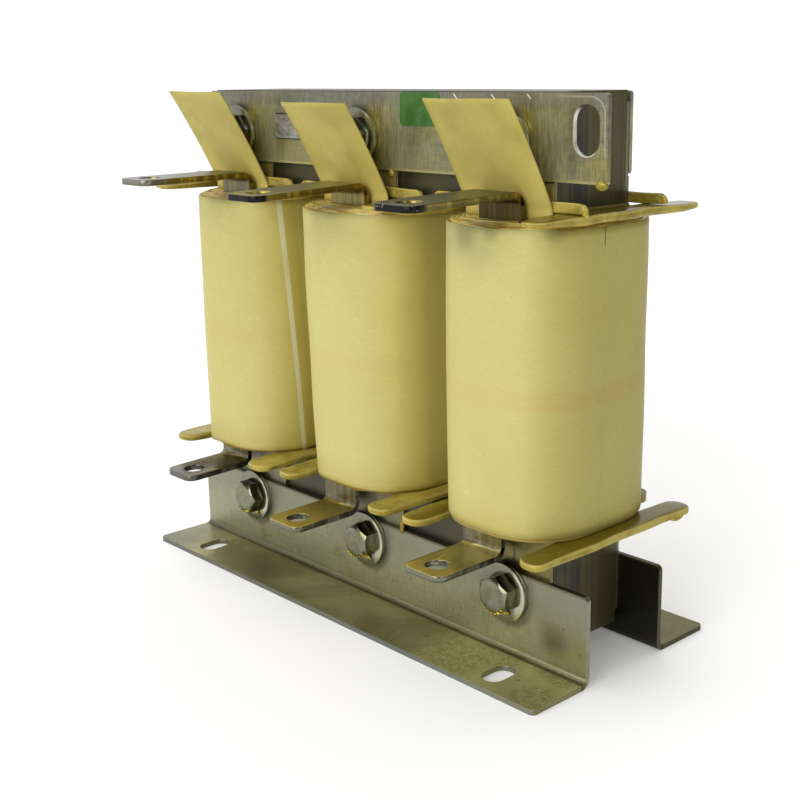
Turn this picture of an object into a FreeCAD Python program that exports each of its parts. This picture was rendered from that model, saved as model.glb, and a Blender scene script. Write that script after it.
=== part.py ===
import FreeCAD, Part
import math
import os
import Sketcher

# Three-phase line reactor with an open frame, in millimetres.
# X runs along the row of coils, -Y is the terminal side, +Z is up.
# The origin is the middle of the footprint, on the surface the feet stand on.

doc = FreeCAD.newDocument("line_reactor")
sheet = doc.addObject("Spreadsheet::Sheet", "Sizes")

SIZES = [
    # Base brackets, bent from flat sheet
    ("bracket_length", 228.6),
    ("bracket_gauge", 2.0),
    ("bracket_bend_radius", 2.0),
    ("bracket_flange_height", 33.5),
    ("bracket_foot_depth", 26.8),
    ("bracket_corner_radius", 2.0),
    ("foot_slot_width", 8.7),
    ("foot_slot_length", 13.6),
    ("foot_slot_spacing", 175.6),
    ("foot_slot_from_edge", 11.3),
    # Laminated core
    ("core_ground_gap", 7.2),
    ("core_depth", 35.0),
    ("leg_width", 40.0),
    ("low_yoke_height", 40.0),
    ("high_yoke_height", 38.0),
    ("coil_pitch", 76.2),
    ("air_gap", 1.6),
    # Tie straps beside the legs
    ("strap_gauge", 1.6),
    ("strap_side_step", 0.2),
    ("strap_past_bolt", 13.0),
    # Top clamp bars
    ("bar_gauge", 1.5),
    ("bar_height", 28.0),
    ("bar_top_step", 0.3),
    ("bar_overhang", 22.5),
    ("bar_top_corner_radius", 1.2),
    ("bar_low_corner_radius", 1.0),
    ("bar_slot_width", 10.4),
    ("bar_slot_length", 15.9),
    ("bar_slot_from_end", 8.6),
    ("bar_slot_from_top", 11.5),
    # Coils: each is an oval ring round one leg
    ("coil_height", 106.8),
    ("coil_width", 59.0),
    ("coil_depth", 68.8),
    ("coil_corner_radius", 24.0),
    ("wrap_thickness", 0.8),
    ("winding_above_wrap", 2.0),
    ("winding_above_stick", 0.4),
    ("leg_tube_wall", 0.5),
    ("leg_tube_corner_radius", 1.0),
    ("leg_tube_rise", 9.1),
    ("paper_play", 0.1),
    # Spacer sticks that lie across the ends of the coils
    ("stick_width", 11.0),
    ("stick_thickness", 3.2),
    ("stick_length", 86.0),
    ("stick_under_coil", 5.5),
    ("low_left_stick_setback", 3.5),
    ("low_middle_stick_setback", 2.4),
    ("low_right_stick_setback", 1.3),
    # Short packing stick under the rear of the right coil
    ("packing_centre_x", 86.0),
    ("packing_behind_tube", 0.2),
    ("packing_rear_end", 44.5),
    # End boards that stand on the upper sticks
    ("board_width", 70.0),
    ("board_thickness", 2.0),
    ("board_height", 3.7),
    ("board_corner_radius", 3.4),
    # Terminals, bent from flat copper bar
    ("terminal_width", 19.0),
    ("terminal_gauge", 2.4),
    ("terminal_bend_radius", 2.6),
    ("terminal_tip_radius", 4.3),
    ("terminal_hole_diameter", 8.7),
    ("terminal_hole_from_tip", 8.6),
    ("terminal_rooted_length", 14.0),
    ("terminal_play", 0.1),
    ("top_left_offset", 3.9),
    ("top_middle_offset", 2.0),
    ("top_right_offset", 2.3),
    ("bottom_left_offset", -8.9),
    ("bottom_middle_offset", -11.9),
    ("bottom_right_offset", -7.9),
    ("top_left_forward", 1.8),
    ("top_middle_forward", 3.4),
    ("top_right_forward", 1.8),
    ("top_left_lift", 10.8),
    ("top_middle_lift", 10.7),
    ("top_right_lift", 11.8),
    ("top_left_sag", 0.3),
    ("top_middle_sag", 1.5),
    ("top_right_sag", 1.0),
    ("top_left_reach", 75.8),
    ("top_middle_reach", 77.2),
    ("top_right_reach", 75.4),
    ("bottom_left_drop", 8.9),
    ("bottom_middle_drop", 13.2),
    ("bottom_right_drop", 10.1),
    ("bottom_left_sag", 0.9),
    ("bottom_middle_sag", 0.4),
    ("bottom_right_sag", 0.1),
    ("bottom_left_reach", 55.1),
    ("bottom_middle_reach", 55.1),
    ("bottom_right_reach", 55.7),
    # Paper flaps behind the top terminals
    ("flap_left_width", 36.2),
    ("flap_middle_width", 37.0),
    ("flap_right_width", 39.4),
    ("flap_left_offset", 2.0),
    ("flap_middle_offset", 1.2),
    ("flap_right_offset", 2.0),
    ("flap_middle_forward", 1.6),
    ("flap_thickness", 0.4),
    ("flap_straight", 2.6),
    ("flap_bend_radius", 6.3),
    ("flap_bend_arc", 2.9),
    ("flap_sweep_radius", 284.0),
    ("flap_left_sweep_arc", 41.3),
    ("flap_middle_sweep_arc", 37.0),
    ("flap_right_sweep_arc", 39.4),
    # Bolts, washers and nuts
    ("bolt_diameter", 7.9),
    ("bolt_hole_diameter", 8.7),
    ("bolt_length", 57.2),
    ("bolt_low_height", 24.8),
    ("bolt_high_from_top", 16.9),
    ("head_across_flats", 12.7),
    ("head_height", 5.3),
    ("washer_diameter", 22.2),
    ("washer_thickness", 1.8),
    ("lock_washer_diameter", 13.8),
    ("lock_washer_thickness", 2.0),
    ("lock_washer_slit", 1.2),
    ("nut_height", 6.7),
    # Labels on the front clamp bar
    ("label_length", 20.6),
    ("label_height", 11.8),
    ("label_centre_x", 33.9),
    ("label_thickness", 0.2),
    ("foil_length", 26.0),
    ("foil_height", 10.2),
    ("foil_centre_x", -37.8),
    ("foil_from_top", 13.5),
    ("foil_thickness", 0.4),
]

for row, (alias, value) in enumerate(SIZES, start=1):
    sheet.set(f"A{row}", alias)
    sheet.set(f"B{row}", str(value))
    sheet.setAlias(f"B{row}", alias)
doc.recompute()

# Faces and levels that several pieces share, each written once from the sheet
CORE_END = "(Sizes.coil_pitch + Sizes.leg_width / 2)"
CORE_FACE = "(Sizes.core_depth / 2)"
STRAP_FACE = f"({CORE_FACE} + Sizes.strap_gauge)"
TUBE_FACE = f"({STRAP_FACE} + Sizes.paper_play + Sizes.leg_tube_wall)"
TUBE_SIDE = "(Sizes.leg_width / 2 + Sizes.paper_play + Sizes.leg_tube_wall)"
BOARD_BACK = f"({TUBE_FACE} + Sizes.paper_play)"
BOARD_FACE = f"({BOARD_BACK} + Sizes.board_thickness)"
FLAP_BACK = f"({BOARD_FACE} + Sizes.paper_play)"
FLAP_FACE = f"({FLAP_BACK} + Sizes.flap_thickness)"
TERMINAL_BACK = f"({FLAP_FACE} + Sizes.paper_play)"
BRACKET_FACE = f"({STRAP_FACE} + Sizes.bracket_gauge)"
BAR_FACE = f"({STRAP_FACE} + Sizes.bar_gauge)"
LOW_YOKE_TOP = "(Sizes.core_ground_gap + Sizes.low_yoke_height)"
COIL_BOTTOM = f"({LOW_YOKE_TOP} + Sizes.stick_thickness)"
COIL_TOP = f"({COIL_BOTTOM} + Sizes.coil_height)"
WINDING_TOP = f"({COIL_TOP} + Sizes.winding_above_wrap)"
WINDING_BOTTOM = f"({COIL_BOTTOM} + Sizes.winding_above_stick)"
HIGH_YOKE_BOTTOM = f"({WINDING_TOP} + Sizes.stick_thickness)"
CORE_TOP = f"({HIGH_YOKE_BOTTOM} + Sizes.high_yoke_height)"
BAR_TOP = f"({CORE_TOP} - Sizes.bar_top_step)"
HIGH_BOLT = f"({CORE_TOP} - Sizes.bolt_high_from_top)"

COILS = {"left": "-Sizes.coil_pitch", "middle": "0", "right": "Sizes.coil_pitch"}
parts = []


def number(text):
    return float(sheet.evalExpression(text))


def new_body(label):
    body = doc.addObject("PartDesign::Body", label)
    body.Label = label
    parts.append(body)
    return body


def new_sketch(body, role, offset="0"):
    plane = next(item for item in body.Origin.OriginFeatures if item.Role == role)
    sketch = body.newObject("Sketcher::SketchObject", "sketch")
    sketch.AttachmentSupport = [(plane, "")]
    sketch.MapMode = "FlatFace"
    sketch.setExpression(".AttachmentOffset.Base.z", offset)
    return sketch


def bind(sketch, kind, geometry, point, text):
    """Holds one coordinate of a point at a distance from the sketch origin."""
    constraint = Sketcher.Constraint(kind, -1, 1, geometry, point, number(text))
    index = sketch.addConstraint(constraint)
    sketch.setExpression(f"Constraints[{index}]", text)


def bind_radius(sketch, geometry, text):
    index = sketch.addConstraint(Sketcher.Constraint("Radius", geometry, number(text)))
    sketch.setExpression(f"Constraints[{index}]", text)


def add_circle(sketch, x, y, diameter):
    centre = FreeCAD.Vector(number(x), number(y), 0)
    circle = Part.Circle(centre, FreeCAD.Vector(0, 0, 1), number(diameter) / 2)
    index = sketch.addGeometry(circle)
    bind(sketch, "DistanceX", index, 3, x)
    bind(sketch, "DistanceY", index, 3, y)
    bind_radius(sketch, index, f"{diameter} / 2")


def add_polygon(sketch, corners):
    """Closed chain of straight lines, each corner held by its two coordinates."""
    points = [FreeCAD.Vector(number(x), number(y), 0) for x, y in corners]
    first = sketch.GeometryCount
    count = len(points)
    for i in range(count):
        sketch.addGeometry(Part.LineSegment(points[i], points[(i + 1) % count]))
    for i in range(count):
        following = first + (i + 1) % count
        sketch.addConstraint(Sketcher.Constraint("Coincident", first + i, 2, following, 1))
    for i, (x, y) in enumerate(corners):
        bind(sketch, "DistanceX", first + i, 1, x)
        bind(sketch, "DistanceY", first + i, 1, y)


def add_outline(sketch, corners):
    """Closed outline of upright and level lines; a corner may carry a radius."""
    count = len(corners)
    points = [FreeCAD.Vector(number(c[0]), number(c[1]), 0) for c in corners]
    radii = [number(c[2]) if len(c) > 2 else 0.0 for c in corners]
    steps = [(points[(i + 1) % count] - points[i]).normalize() for i in range(count)]
    lines = []
    for i in range(count):
        start = points[i] + steps[i] * radii[i]
        end = points[(i + 1) % count] - steps[i] * radii[(i + 1) % count]
        lines.append(sketch.addGeometry(Part.LineSegment(start, end)))
    for i in range(count):
        upright = abs(steps[i].x) < 0.5
        axis = "Vertical" if upright else "Horizontal"
        sketch.addConstraint(Sketcher.Constraint(axis, lines[i]))
        kind = "DistanceX" if upright else "DistanceY"
        bind(sketch, kind, lines[i], 1, corners[i][0] if upright else corners[i][1])
    for i in range(count):
        before = lines[i - 1]
        after = lines[i]
        if radii[i] == 0.0:
            sketch.addConstraint(Sketcher.Constraint("Coincident", before, 2, after, 1))
            continue
        start = points[i] - steps[i - 1] * radii[i]
        end = points[i] + steps[i] * radii[i]
        centre = start + steps[i] * radii[i]
        middle = centre + (points[i] - centre).normalize() * radii[i]
        turns_left = steps[i - 1].cross(steps[i]).z > 0
        arc = sketch.addGeometry(Part.Arc(start, middle, end))
        arc_start = 1 if turns_left else 2
        arc_end = 2 if turns_left else 1
        sketch.addConstraint(Sketcher.Constraint("Tangent", before, 2, arc, arc_start))
        sketch.addConstraint(Sketcher.Constraint("Tangent", arc, arc_end, after, 1))
        bind_radius(sketch, arc, corners[i][2])


def add_slot(sketch, x, y, width, length, along):
    """Slot with round ends, its long way along "x" or "y" of the sketch."""
    half = f"(({length}) - ({width})) / 2"
    reach = FreeCAD.Vector(1, 0, 0) if along == "x" else FreeCAD.Vector(0, 1, 0)
    side = FreeCAD.Vector(-reach.y, reach.x, 0) * (number(width) / 2)
    centre = FreeCAD.Vector(number(x), number(y), 0)
    low = centre - reach * number(half)
    high = centre + reach * number(half)
    tip = reach * (number(width) / 2)
    cap_high = sketch.addGeometry(Part.Arc(high - side, high + tip, high + side))
    line_up = sketch.addGeometry(Part.LineSegment(high + side, low + side))
    cap_low = sketch.addGeometry(Part.Arc(low + side, low - tip, low - side))
    line_down = sketch.addGeometry(Part.LineSegment(low - side, high - side))
    sketch.addConstraint(Sketcher.Constraint("Tangent", cap_high, 2, line_up, 1))
    sketch.addConstraint(Sketcher.Constraint("Tangent", line_up, 2, cap_low, 1))
    sketch.addConstraint(Sketcher.Constraint("Tangent", cap_low, 2, line_down, 1))
    sketch.addConstraint(Sketcher.Constraint("Tangent", line_down, 2, cap_high, 1))
    for cap, sign in ((cap_high, "+"), (cap_low, "-")):
        shift = f" {sign} {half}"
        bind(sketch, "DistanceX", cap, 3, x + shift if along == "x" else x)
        bind(sketch, "DistanceY", cap, 3, y + shift if along == "y" else y)
        bind_radius(sketch, cap, f"({width}) / 2")


def add_pad(body, sketch, length, backwards=False):
    pad = body.newObject("PartDesign::Pad", "pad")
    pad.Profile = sketch
    pad.Reversed = backwards
    pad.setExpression("Length", length)
    doc.recompute()
    return pad


def cut_through(body, sketch):
    before = body.Shape.Volume
    pocket = body.newObject("PartDesign::Pocket", "pocket")
    pocket.Profile = sketch
    pocket.Type = "ThroughAll"
    pocket.SideType = "Symmetric"
    doc.recompute()
    if not body.Shape.Volume < before:
        raise ValueError(f"{body.Label}: a pocket cut nothing")
    return pocket


def cut_down(body, sketch, depth, backwards=False):
    before = body.Shape.Volume
    pocket = body.newObject("PartDesign::Pocket", "pocket")
    pocket.Profile = sketch
    pocket.Reversed = backwards
    pocket.setExpression("Length", depth)
    doc.recompute()
    if not body.Shape.Volume < before:
        raise ValueError(f"{body.Label}: a pocket cut nothing")
    return pocket


def round_edges(body, radius, wanted):
    """Fillets the edges whose middle point and direction pass the test."""
    base = body.Tip
    names = []
    for i, edge in enumerate(base.Shape.Edges, start=1):
        if edge.Curve.TypeId != "Part::GeomLine":
            continue
        ends = [vertex.Point for vertex in edge.Vertexes]
        middle = (ends[0] + ends[1]) * 0.5
        if wanted(middle, (ends[1] - ends[0]).normalize()):
            names.append(f"Edge{i}")
    if not names:
        raise ValueError(f"{body.Label}: no edge to round")
    fillet = body.newObject("PartDesign::Fillet", "fillet")
    fillet.Base = (base, names)
    fillet.setExpression("Radius", radius)
    doc.recompute()
    return fillet


def turn_round(body):
    body.Placement = FreeCAD.Placement(
        FreeCAD.Vector(0, 0, 0), FreeCAD.Rotation(FreeCAD.Vector(0, 0, 1), 180))


def same(a, b):
    return abs(a - b) < 0.01


# Base brackets: an angle with three bolt holes and two slots across its foot
def make_bracket(label):
    body = new_body(label)
    front = f"-{BRACKET_FACE}"
    back = f"-{STRAP_FACE}"
    toe = f"-({BRACKET_FACE} + Sizes.bracket_foot_depth)"
    inner = "Sizes.bracket_bend_radius"
    outer = "(Sizes.bracket_bend_radius + Sizes.bracket_gauge)"
    profile = new_sketch(body, "YZ_Plane", "-Sizes.bracket_length / 2")
    add_outline(profile, [
        (toe, "0"),
        (back, "0", outer),
        (back, "Sizes.bracket_flange_height"),
        (front, "Sizes.bracket_flange_height"),
        (front, "Sizes.bracket_gauge", inner),
        (toe, "Sizes.bracket_gauge"),
    ])
    add_pad(body, profile, "Sizes.bracket_length")
    holes = new_sketch(body, "XZ_Plane", BRACKET_FACE)
    for centre in COILS.values():
        add_circle(holes, centre, "Sizes.bolt_low_height", "Sizes.bolt_hole_diameter")
    cut_through(body, holes)
    slots = new_sketch(body, "XY_Plane")
    middle = f"-({BRACKET_FACE} + Sizes.bracket_foot_depth - Sizes.foot_slot_from_edge)"
    for sign in ("-", ""):
        add_slot(slots, f"{sign}Sizes.foot_slot_spacing / 2", middle,
                 "Sizes.foot_slot_width", "Sizes.foot_slot_length", "y")
    cut_through(body, slots)
    half = number("Sizes.bracket_length / 2")
    height = number("Sizes.bracket_flange_height")
    edge = number(toe)
    round_edges(body, "Sizes.bracket_corner_radius",
                lambda m, d: abs(d.y) > 0.9 and same(abs(m.x), half) and same(m.z, height))
    round_edges(body, "Sizes.bracket_corner_radius",
                lambda m, d: abs(d.z) > 0.9 and same(abs(m.x), half) and same(m.y, edge))
    return body


make_bracket("front_bracket")
turn_round(make_bracket("rear_bracket"))


# Top clamp bars: flush with one end of the core, past the other end with a slot
def make_clamp_bar(label):
    body = new_body(label)
    flush = f"-{CORE_END}"
    far = f"({CORE_END} + Sizes.bar_overhang)"
    low = f"({BAR_TOP} - Sizes.bar_height)"
    face = new_sketch(body, "XZ_Plane", STRAP_FACE)
    add_outline(face, [
        (flush, low, "Sizes.bar_low_corner_radius"),
        (far, low, "Sizes.bar_low_corner_radius"),
        (far, BAR_TOP, "Sizes.bar_top_corner_radius"),
        (flush, BAR_TOP, "Sizes.bar_top_corner_radius"),
    ])
    for centre in COILS.values():
        add_circle(face, centre, HIGH_BOLT, "Sizes.bolt_hole_diameter")
    add_slot(face, f"{far} - Sizes.bar_slot_from_end", f"{BAR_TOP} - Sizes.bar_slot_from_top",
             "Sizes.bar_slot_width", "Sizes.bar_slot_length", "y")
    add_pad(body, face, "Sizes.bar_gauge")
    return body


make_clamp_bar("front_clamp_bar")
turn_round(make_clamp_bar("rear_clamp_bar"))

# Core: a lower stack with three upright legs, a spacer on each leg and a straight
# yoke on top
leg_half = "Sizes.leg_width / 2"
inner_leg = f"(Sizes.coil_pitch - {leg_half})"
leg_top = f"({HIGH_YOKE_BOTTOM} - Sizes.air_gap)"
lower = new_body("core_e_stack")
stack = new_sketch(lower, "XZ_Plane", f"-{CORE_FACE}")
add_polygon(stack, [
    (f"-{CORE_END}", "Sizes.core_ground_gap"),
    (CORE_END, "Sizes.core_ground_gap"),
    (CORE_END, leg_top),
    (inner_leg, leg_top),
    (inner_leg, LOW_YOKE_TOP),
    (leg_half, LOW_YOKE_TOP),
    (leg_half, leg_top),
    (f"-{leg_half}", leg_top),
    (f"-{leg_half}", LOW_YOKE_TOP),
    (f"-{inner_leg}", LOW_YOKE_TOP),
    (f"-{inner_leg}", leg_top),
    (f"-{CORE_END}", leg_top),
])
for centre in COILS.values():
    add_circle(stack, centre, "Sizes.bolt_low_height", "Sizes.bolt_hole_diameter")
add_pad(lower, stack, "Sizes.core_depth")

upper = new_body("core_i_yoke")
stack = new_sketch(upper, "XZ_Plane", f"-{CORE_FACE}")
add_outline(stack, [
    (f"-{CORE_END}", HIGH_YOKE_BOTTOM),
    (CORE_END, HIGH_YOKE_BOTTOM),
    (CORE_END, CORE_TOP),
    (f"-{CORE_END}", CORE_TOP),
])
for centre in COILS.values():
    add_circle(stack, centre, HIGH_BOLT, "Sizes.bolt_hole_diameter")
add_pad(upper, stack, "Sizes.core_depth")

for side, centre in COILS.items():
    body = new_body(f"gap_spacer_{side}")
    area = new_sketch(body, "XY_Plane", leg_top)
    add_outline(area, [
        (f"{centre} - {leg_half}", f"-{CORE_FACE}"),
        (f"{centre} + {leg_half}", f"-{CORE_FACE}"),
        (f"{centre} + {leg_half}", CORE_FACE),
        (f"{centre} - {leg_half}", CORE_FACE),
    ])
    add_pad(body, area, "Sizes.air_gap")

# Tie straps: flat strips in front of and behind each leg, bolted at both ends
strap_half = "(Sizes.leg_width / 2 - Sizes.strap_side_step)"
for face, offset in (("front", CORE_FACE), ("rear", f"-{STRAP_FACE}")):
    for side, centre in COILS.items():
        body = new_body(f"{face}_strap_{side}")
        strip = new_sketch(body, "XZ_Plane", offset)
        low = "(Sizes.bolt_low_height - Sizes.strap_past_bolt)"
        high = f"({HIGH_BOLT} + Sizes.strap_past_bolt)"
        add_outline(strip, [
            (f"{centre} - {strap_half}", low),
            (f"{centre} + {strap_half}", low),
            (f"{centre} + {strap_half}", high),
            (f"{centre} - {strap_half}", high),
        ])
        add_circle(strip, centre, "Sizes.bolt_low_height", "Sizes.bolt_hole_diameter")
        add_circle(strip, centre, HIGH_BOLT, "Sizes.bolt_hole_diameter")
        add_pad(body, strip, "Sizes.strap_gauge")


def terminal_back(end, side):
    forward = f"Sizes.top_{side}_forward" if end == "top" else "0"
    return f"({TERMINAL_BACK} + {forward})"


def add_ring(sketch, centre, x_half, y_half, radius=None):
    rounding = (radius,) if radius else ()
    add_outline(sketch, [
        (f"{centre} - {x_half}", f"-{y_half}") + rounding,
        (f"{centre} + {x_half}", f"-{y_half}") + rounding,
        (f"{centre} + {x_half}", y_half) + rounding,
        (f"{centre} - {x_half}", y_half) + rounding,
    ])


# Coils: paper tube on the leg and its straps, the winding, and its outer paper wrap
tube_in_x = "(Sizes.leg_width / 2 + Sizes.paper_play)"
tube_in_y = f"({STRAP_FACE} + Sizes.paper_play)"
winding_x = "(Sizes.coil_width / 2 - Sizes.wrap_thickness)"
winding_y = "(Sizes.coil_depth / 2 - Sizes.wrap_thickness)"
winding_radius = "(Sizes.coil_corner_radius - Sizes.wrap_thickness)"
hole_x = f"({TUBE_SIDE} + Sizes.paper_play)"
hole_y = f"({TUBE_FACE} + Sizes.paper_play)"
hole_radius = "(Sizes.leg_tube_corner_radius + Sizes.paper_play)"
wall_half = f"({TUBE_SIDE} - Sizes.leg_tube_corner_radius)"
for side, centre in COILS.items():
    body = new_body(f"leg_tube_{side}")
    ring = new_sketch(body, "XY_Plane", f"{LOW_YOKE_TOP} + Sizes.paper_play")
    add_ring(ring, centre, TUBE_SIDE, TUBE_FACE, "Sizes.leg_tube_corner_radius")
    add_ring(ring, centre, tube_in_x, tube_in_y)
    tube_height = f"({HIGH_YOKE_BOTTOM} - {LOW_YOKE_TOP} - 2 * Sizes.paper_play)"
    add_pad(body, ring, tube_height)
    walls = new_sketch(body, "XY_Plane", f"{LOW_YOKE_TOP} + Sizes.paper_play")
    for sign, near, reach in (("-", TUBE_FACE, tube_in_y), ("", tube_in_y, TUBE_FACE)):
        add_outline(walls, [
            (f"{centre} - {wall_half}", f"{sign}{near}"),
            (f"{centre} + {wall_half}", f"{sign}{near}"),
            (f"{centre} + {wall_half}", f"{sign}{reach}"),
            (f"{centre} - {wall_half}", f"{sign}{reach}"),
        ])
    add_pad(body, walls, f"{tube_height} + Sizes.leg_tube_rise")

    body = new_body(f"winding_{side}")
    ring = new_sketch(body, "XY_Plane", WINDING_BOTTOM)
    add_ring(ring, centre, winding_x, winding_y, winding_radius)
    add_ring(ring, centre, hole_x, hole_y, hole_radius)
    add_pad(body, ring, f"{WINDING_TOP} - {WINDING_BOTTOM}")
    for end, level, backwards in (("top", WINDING_TOP, False), ("bottom", WINDING_BOTTOM, True)):
        root = new_sketch(body, "XY_Plane", level)
        middle = f"({centre} + Sizes.{end}_{side}_offset)"
        half = "(Sizes.terminal_width / 2 + Sizes.terminal_play)"
        near = terminal_back(end, side)
        back = f"({near} - Sizes.terminal_play)"
        face = f"({near} + Sizes.terminal_gauge + Sizes.terminal_play)"
        add_outline(root, [
            (f"{middle} - {half}", f"-{face}"),
            (f"{middle} + {half}", f"-{face}"),
            (f"{middle} + {half}", f"-{back}"),
            (f"{middle} - {half}", f"-{back}"),
        ])
        cut_down(body, root, "Sizes.terminal_rooted_length", backwards)

    body = new_body(f"outer_wrap_{side}")
    ring = new_sketch(body, "XY_Plane", COIL_BOTTOM)
    add_ring(ring, centre, "Sizes.coil_width / 2", "Sizes.coil_depth / 2",
             "Sizes.coil_corner_radius")
    add_ring(ring, centre, winding_x, winding_y, winding_radius)
    add_pad(body, ring, "Sizes.coil_height")

# Spacer sticks: two under and two over each coil, from front to rear
from_leg = "(Sizes.coil_width / 2 - Sizes.stick_under_coil + Sizes.stick_width / 2)"
for end, level in (("bottom", LOW_YOKE_TOP), ("top", WINDING_TOP)):
    for side, centre in COILS.items():
        for hand, sign in (("a", "-"), ("b", "+")):
            moved = end == "bottom" and hand == "a"
            body = new_body(f"{end}_stick_{side}_{hand}")
            plan = new_sketch(body, "XY_Plane", level)
            add_slot(plan, f"{centre} {sign} {from_leg}",
                     f"Sizes.low_{side}_stick_setback" if moved else "0",
                     "Sizes.stick_width", "Sizes.stick_length", "y")
            add_pad(body, plan, "Sizes.stick_thickness")

body = new_body("rear_packing_stick")
plan = new_sketch(body, "XY_Plane", LOW_YOKE_TOP)
packing_start = f"({TUBE_FACE} + Sizes.packing_behind_tube)"
add_slot(plan, "Sizes.packing_centre_x", f"(Sizes.packing_rear_end + {packing_start}) / 2",
         "Sizes.stick_width", f"Sizes.packing_rear_end - {packing_start}", "y")
add_pad(body, plan, "Sizes.stick_thickness")

# End boards: upright strips on the upper sticks, in front of and behind each leg
for face, offset in (("front", BOARD_BACK), ("rear", f"-{BOARD_FACE}")):
    for side, centre in COILS.items():
        body = new_body(f"{face}_board_{side}")
        front = new_sketch(body, "XZ_Plane", offset)
        level = HIGH_YOKE_BOTTOM
        crest = f"({HIGH_YOKE_BOTTOM} + Sizes.board_height)"
        add_outline(front, [
            (f"{centre} - Sizes.board_width / 2", level),
            (f"{centre} + Sizes.board_width / 2", level),
            (f"{centre} + Sizes.board_width / 2", crest, "Sizes.board_corner_radius"),
            (f"{centre} - Sizes.board_width / 2", crest, "Sizes.board_corner_radius"),
        ])
        add_pad(body, front, "Sizes.board_thickness")


# Terminals: each bar rises or drops out of its winding and bends forwards
def make_terminal(end, side, centre):
    body = new_body(f"{end}_terminal_{side}")
    near = terminal_back(end, side)
    back = f"-{near}"
    front = f"-({near} + Sizes.terminal_gauge)"
    tip = f"-Sizes.{end}_{side}_reach"
    fall = f"Sizes.{end}_{side}_sag"
    slope = f"({fall} / (Sizes.{end}_{side}_reach - {near}))"
    if end == "top":
        root = f"({WINDING_TOP} - Sizes.terminal_rooted_length)"
        heel = f"({COIL_TOP} + Sizes.top_{side}_lift)"
        crook = f"({heel} - Sizes.terminal_gauge - {slope} * Sizes.terminal_gauge)"
        nose_far = f"({heel} - {fall})"
        nose_near = f"({heel} - {fall} - Sizes.terminal_gauge)"
    else:
        root = f"({WINDING_BOTTOM} + Sizes.terminal_rooted_length)"
        heel = f"({COIL_BOTTOM} - Sizes.bottom_{side}_drop - Sizes.terminal_gauge)"
        crook = f"({heel} + Sizes.terminal_gauge - {slope} * Sizes.terminal_gauge)"
        nose_far = f"({heel} - {fall})"
        nose_near = f"({heel} - {fall} + Sizes.terminal_gauge)"
    middle = f"({centre} + Sizes.{end}_{side}_offset)"
    profile = new_sketch(body, "YZ_Plane", f"{middle} - Sizes.terminal_width / 2")
    add_polygon(profile, [
        (back, root),
        (back, heel),
        (tip, nose_far),
        (tip, nose_near),
        (front, crook),
        (front, root),
    ])
    add_pad(body, profile, "Sizes.terminal_width")
    hole = new_sketch(body, "XY_Plane", heel)
    add_circle(hole, middle, f"{tip} + Sizes.terminal_hole_from_tip",
               "Sizes.terminal_hole_diameter")
    cut_through(body, hole)
    edge = number(tip)
    round_edges(body, "Sizes.terminal_tip_radius",
                lambda m, d: abs(d.z) > 0.9 and same(m.y, edge))
    inside = (number(front), number(crook))
    round_edges(body, "Sizes.terminal_bend_radius",
                lambda m, d: abs(d.x) > 0.9 and same(m.y, inside[0]) and same(m.z, inside[1]))
    outside = (number(back), number(heel))
    round_edges(body, "Sizes.terminal_bend_radius + Sizes.terminal_gauge",
                lambda m, d: abs(d.x) > 0.9 and same(m.y, outside[0]) and same(m.z, outside[1]))
    return body


for end in ("top", "bottom"):
    for side, centre in COILS.items():
        make_terminal(end, side, centre)


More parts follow.
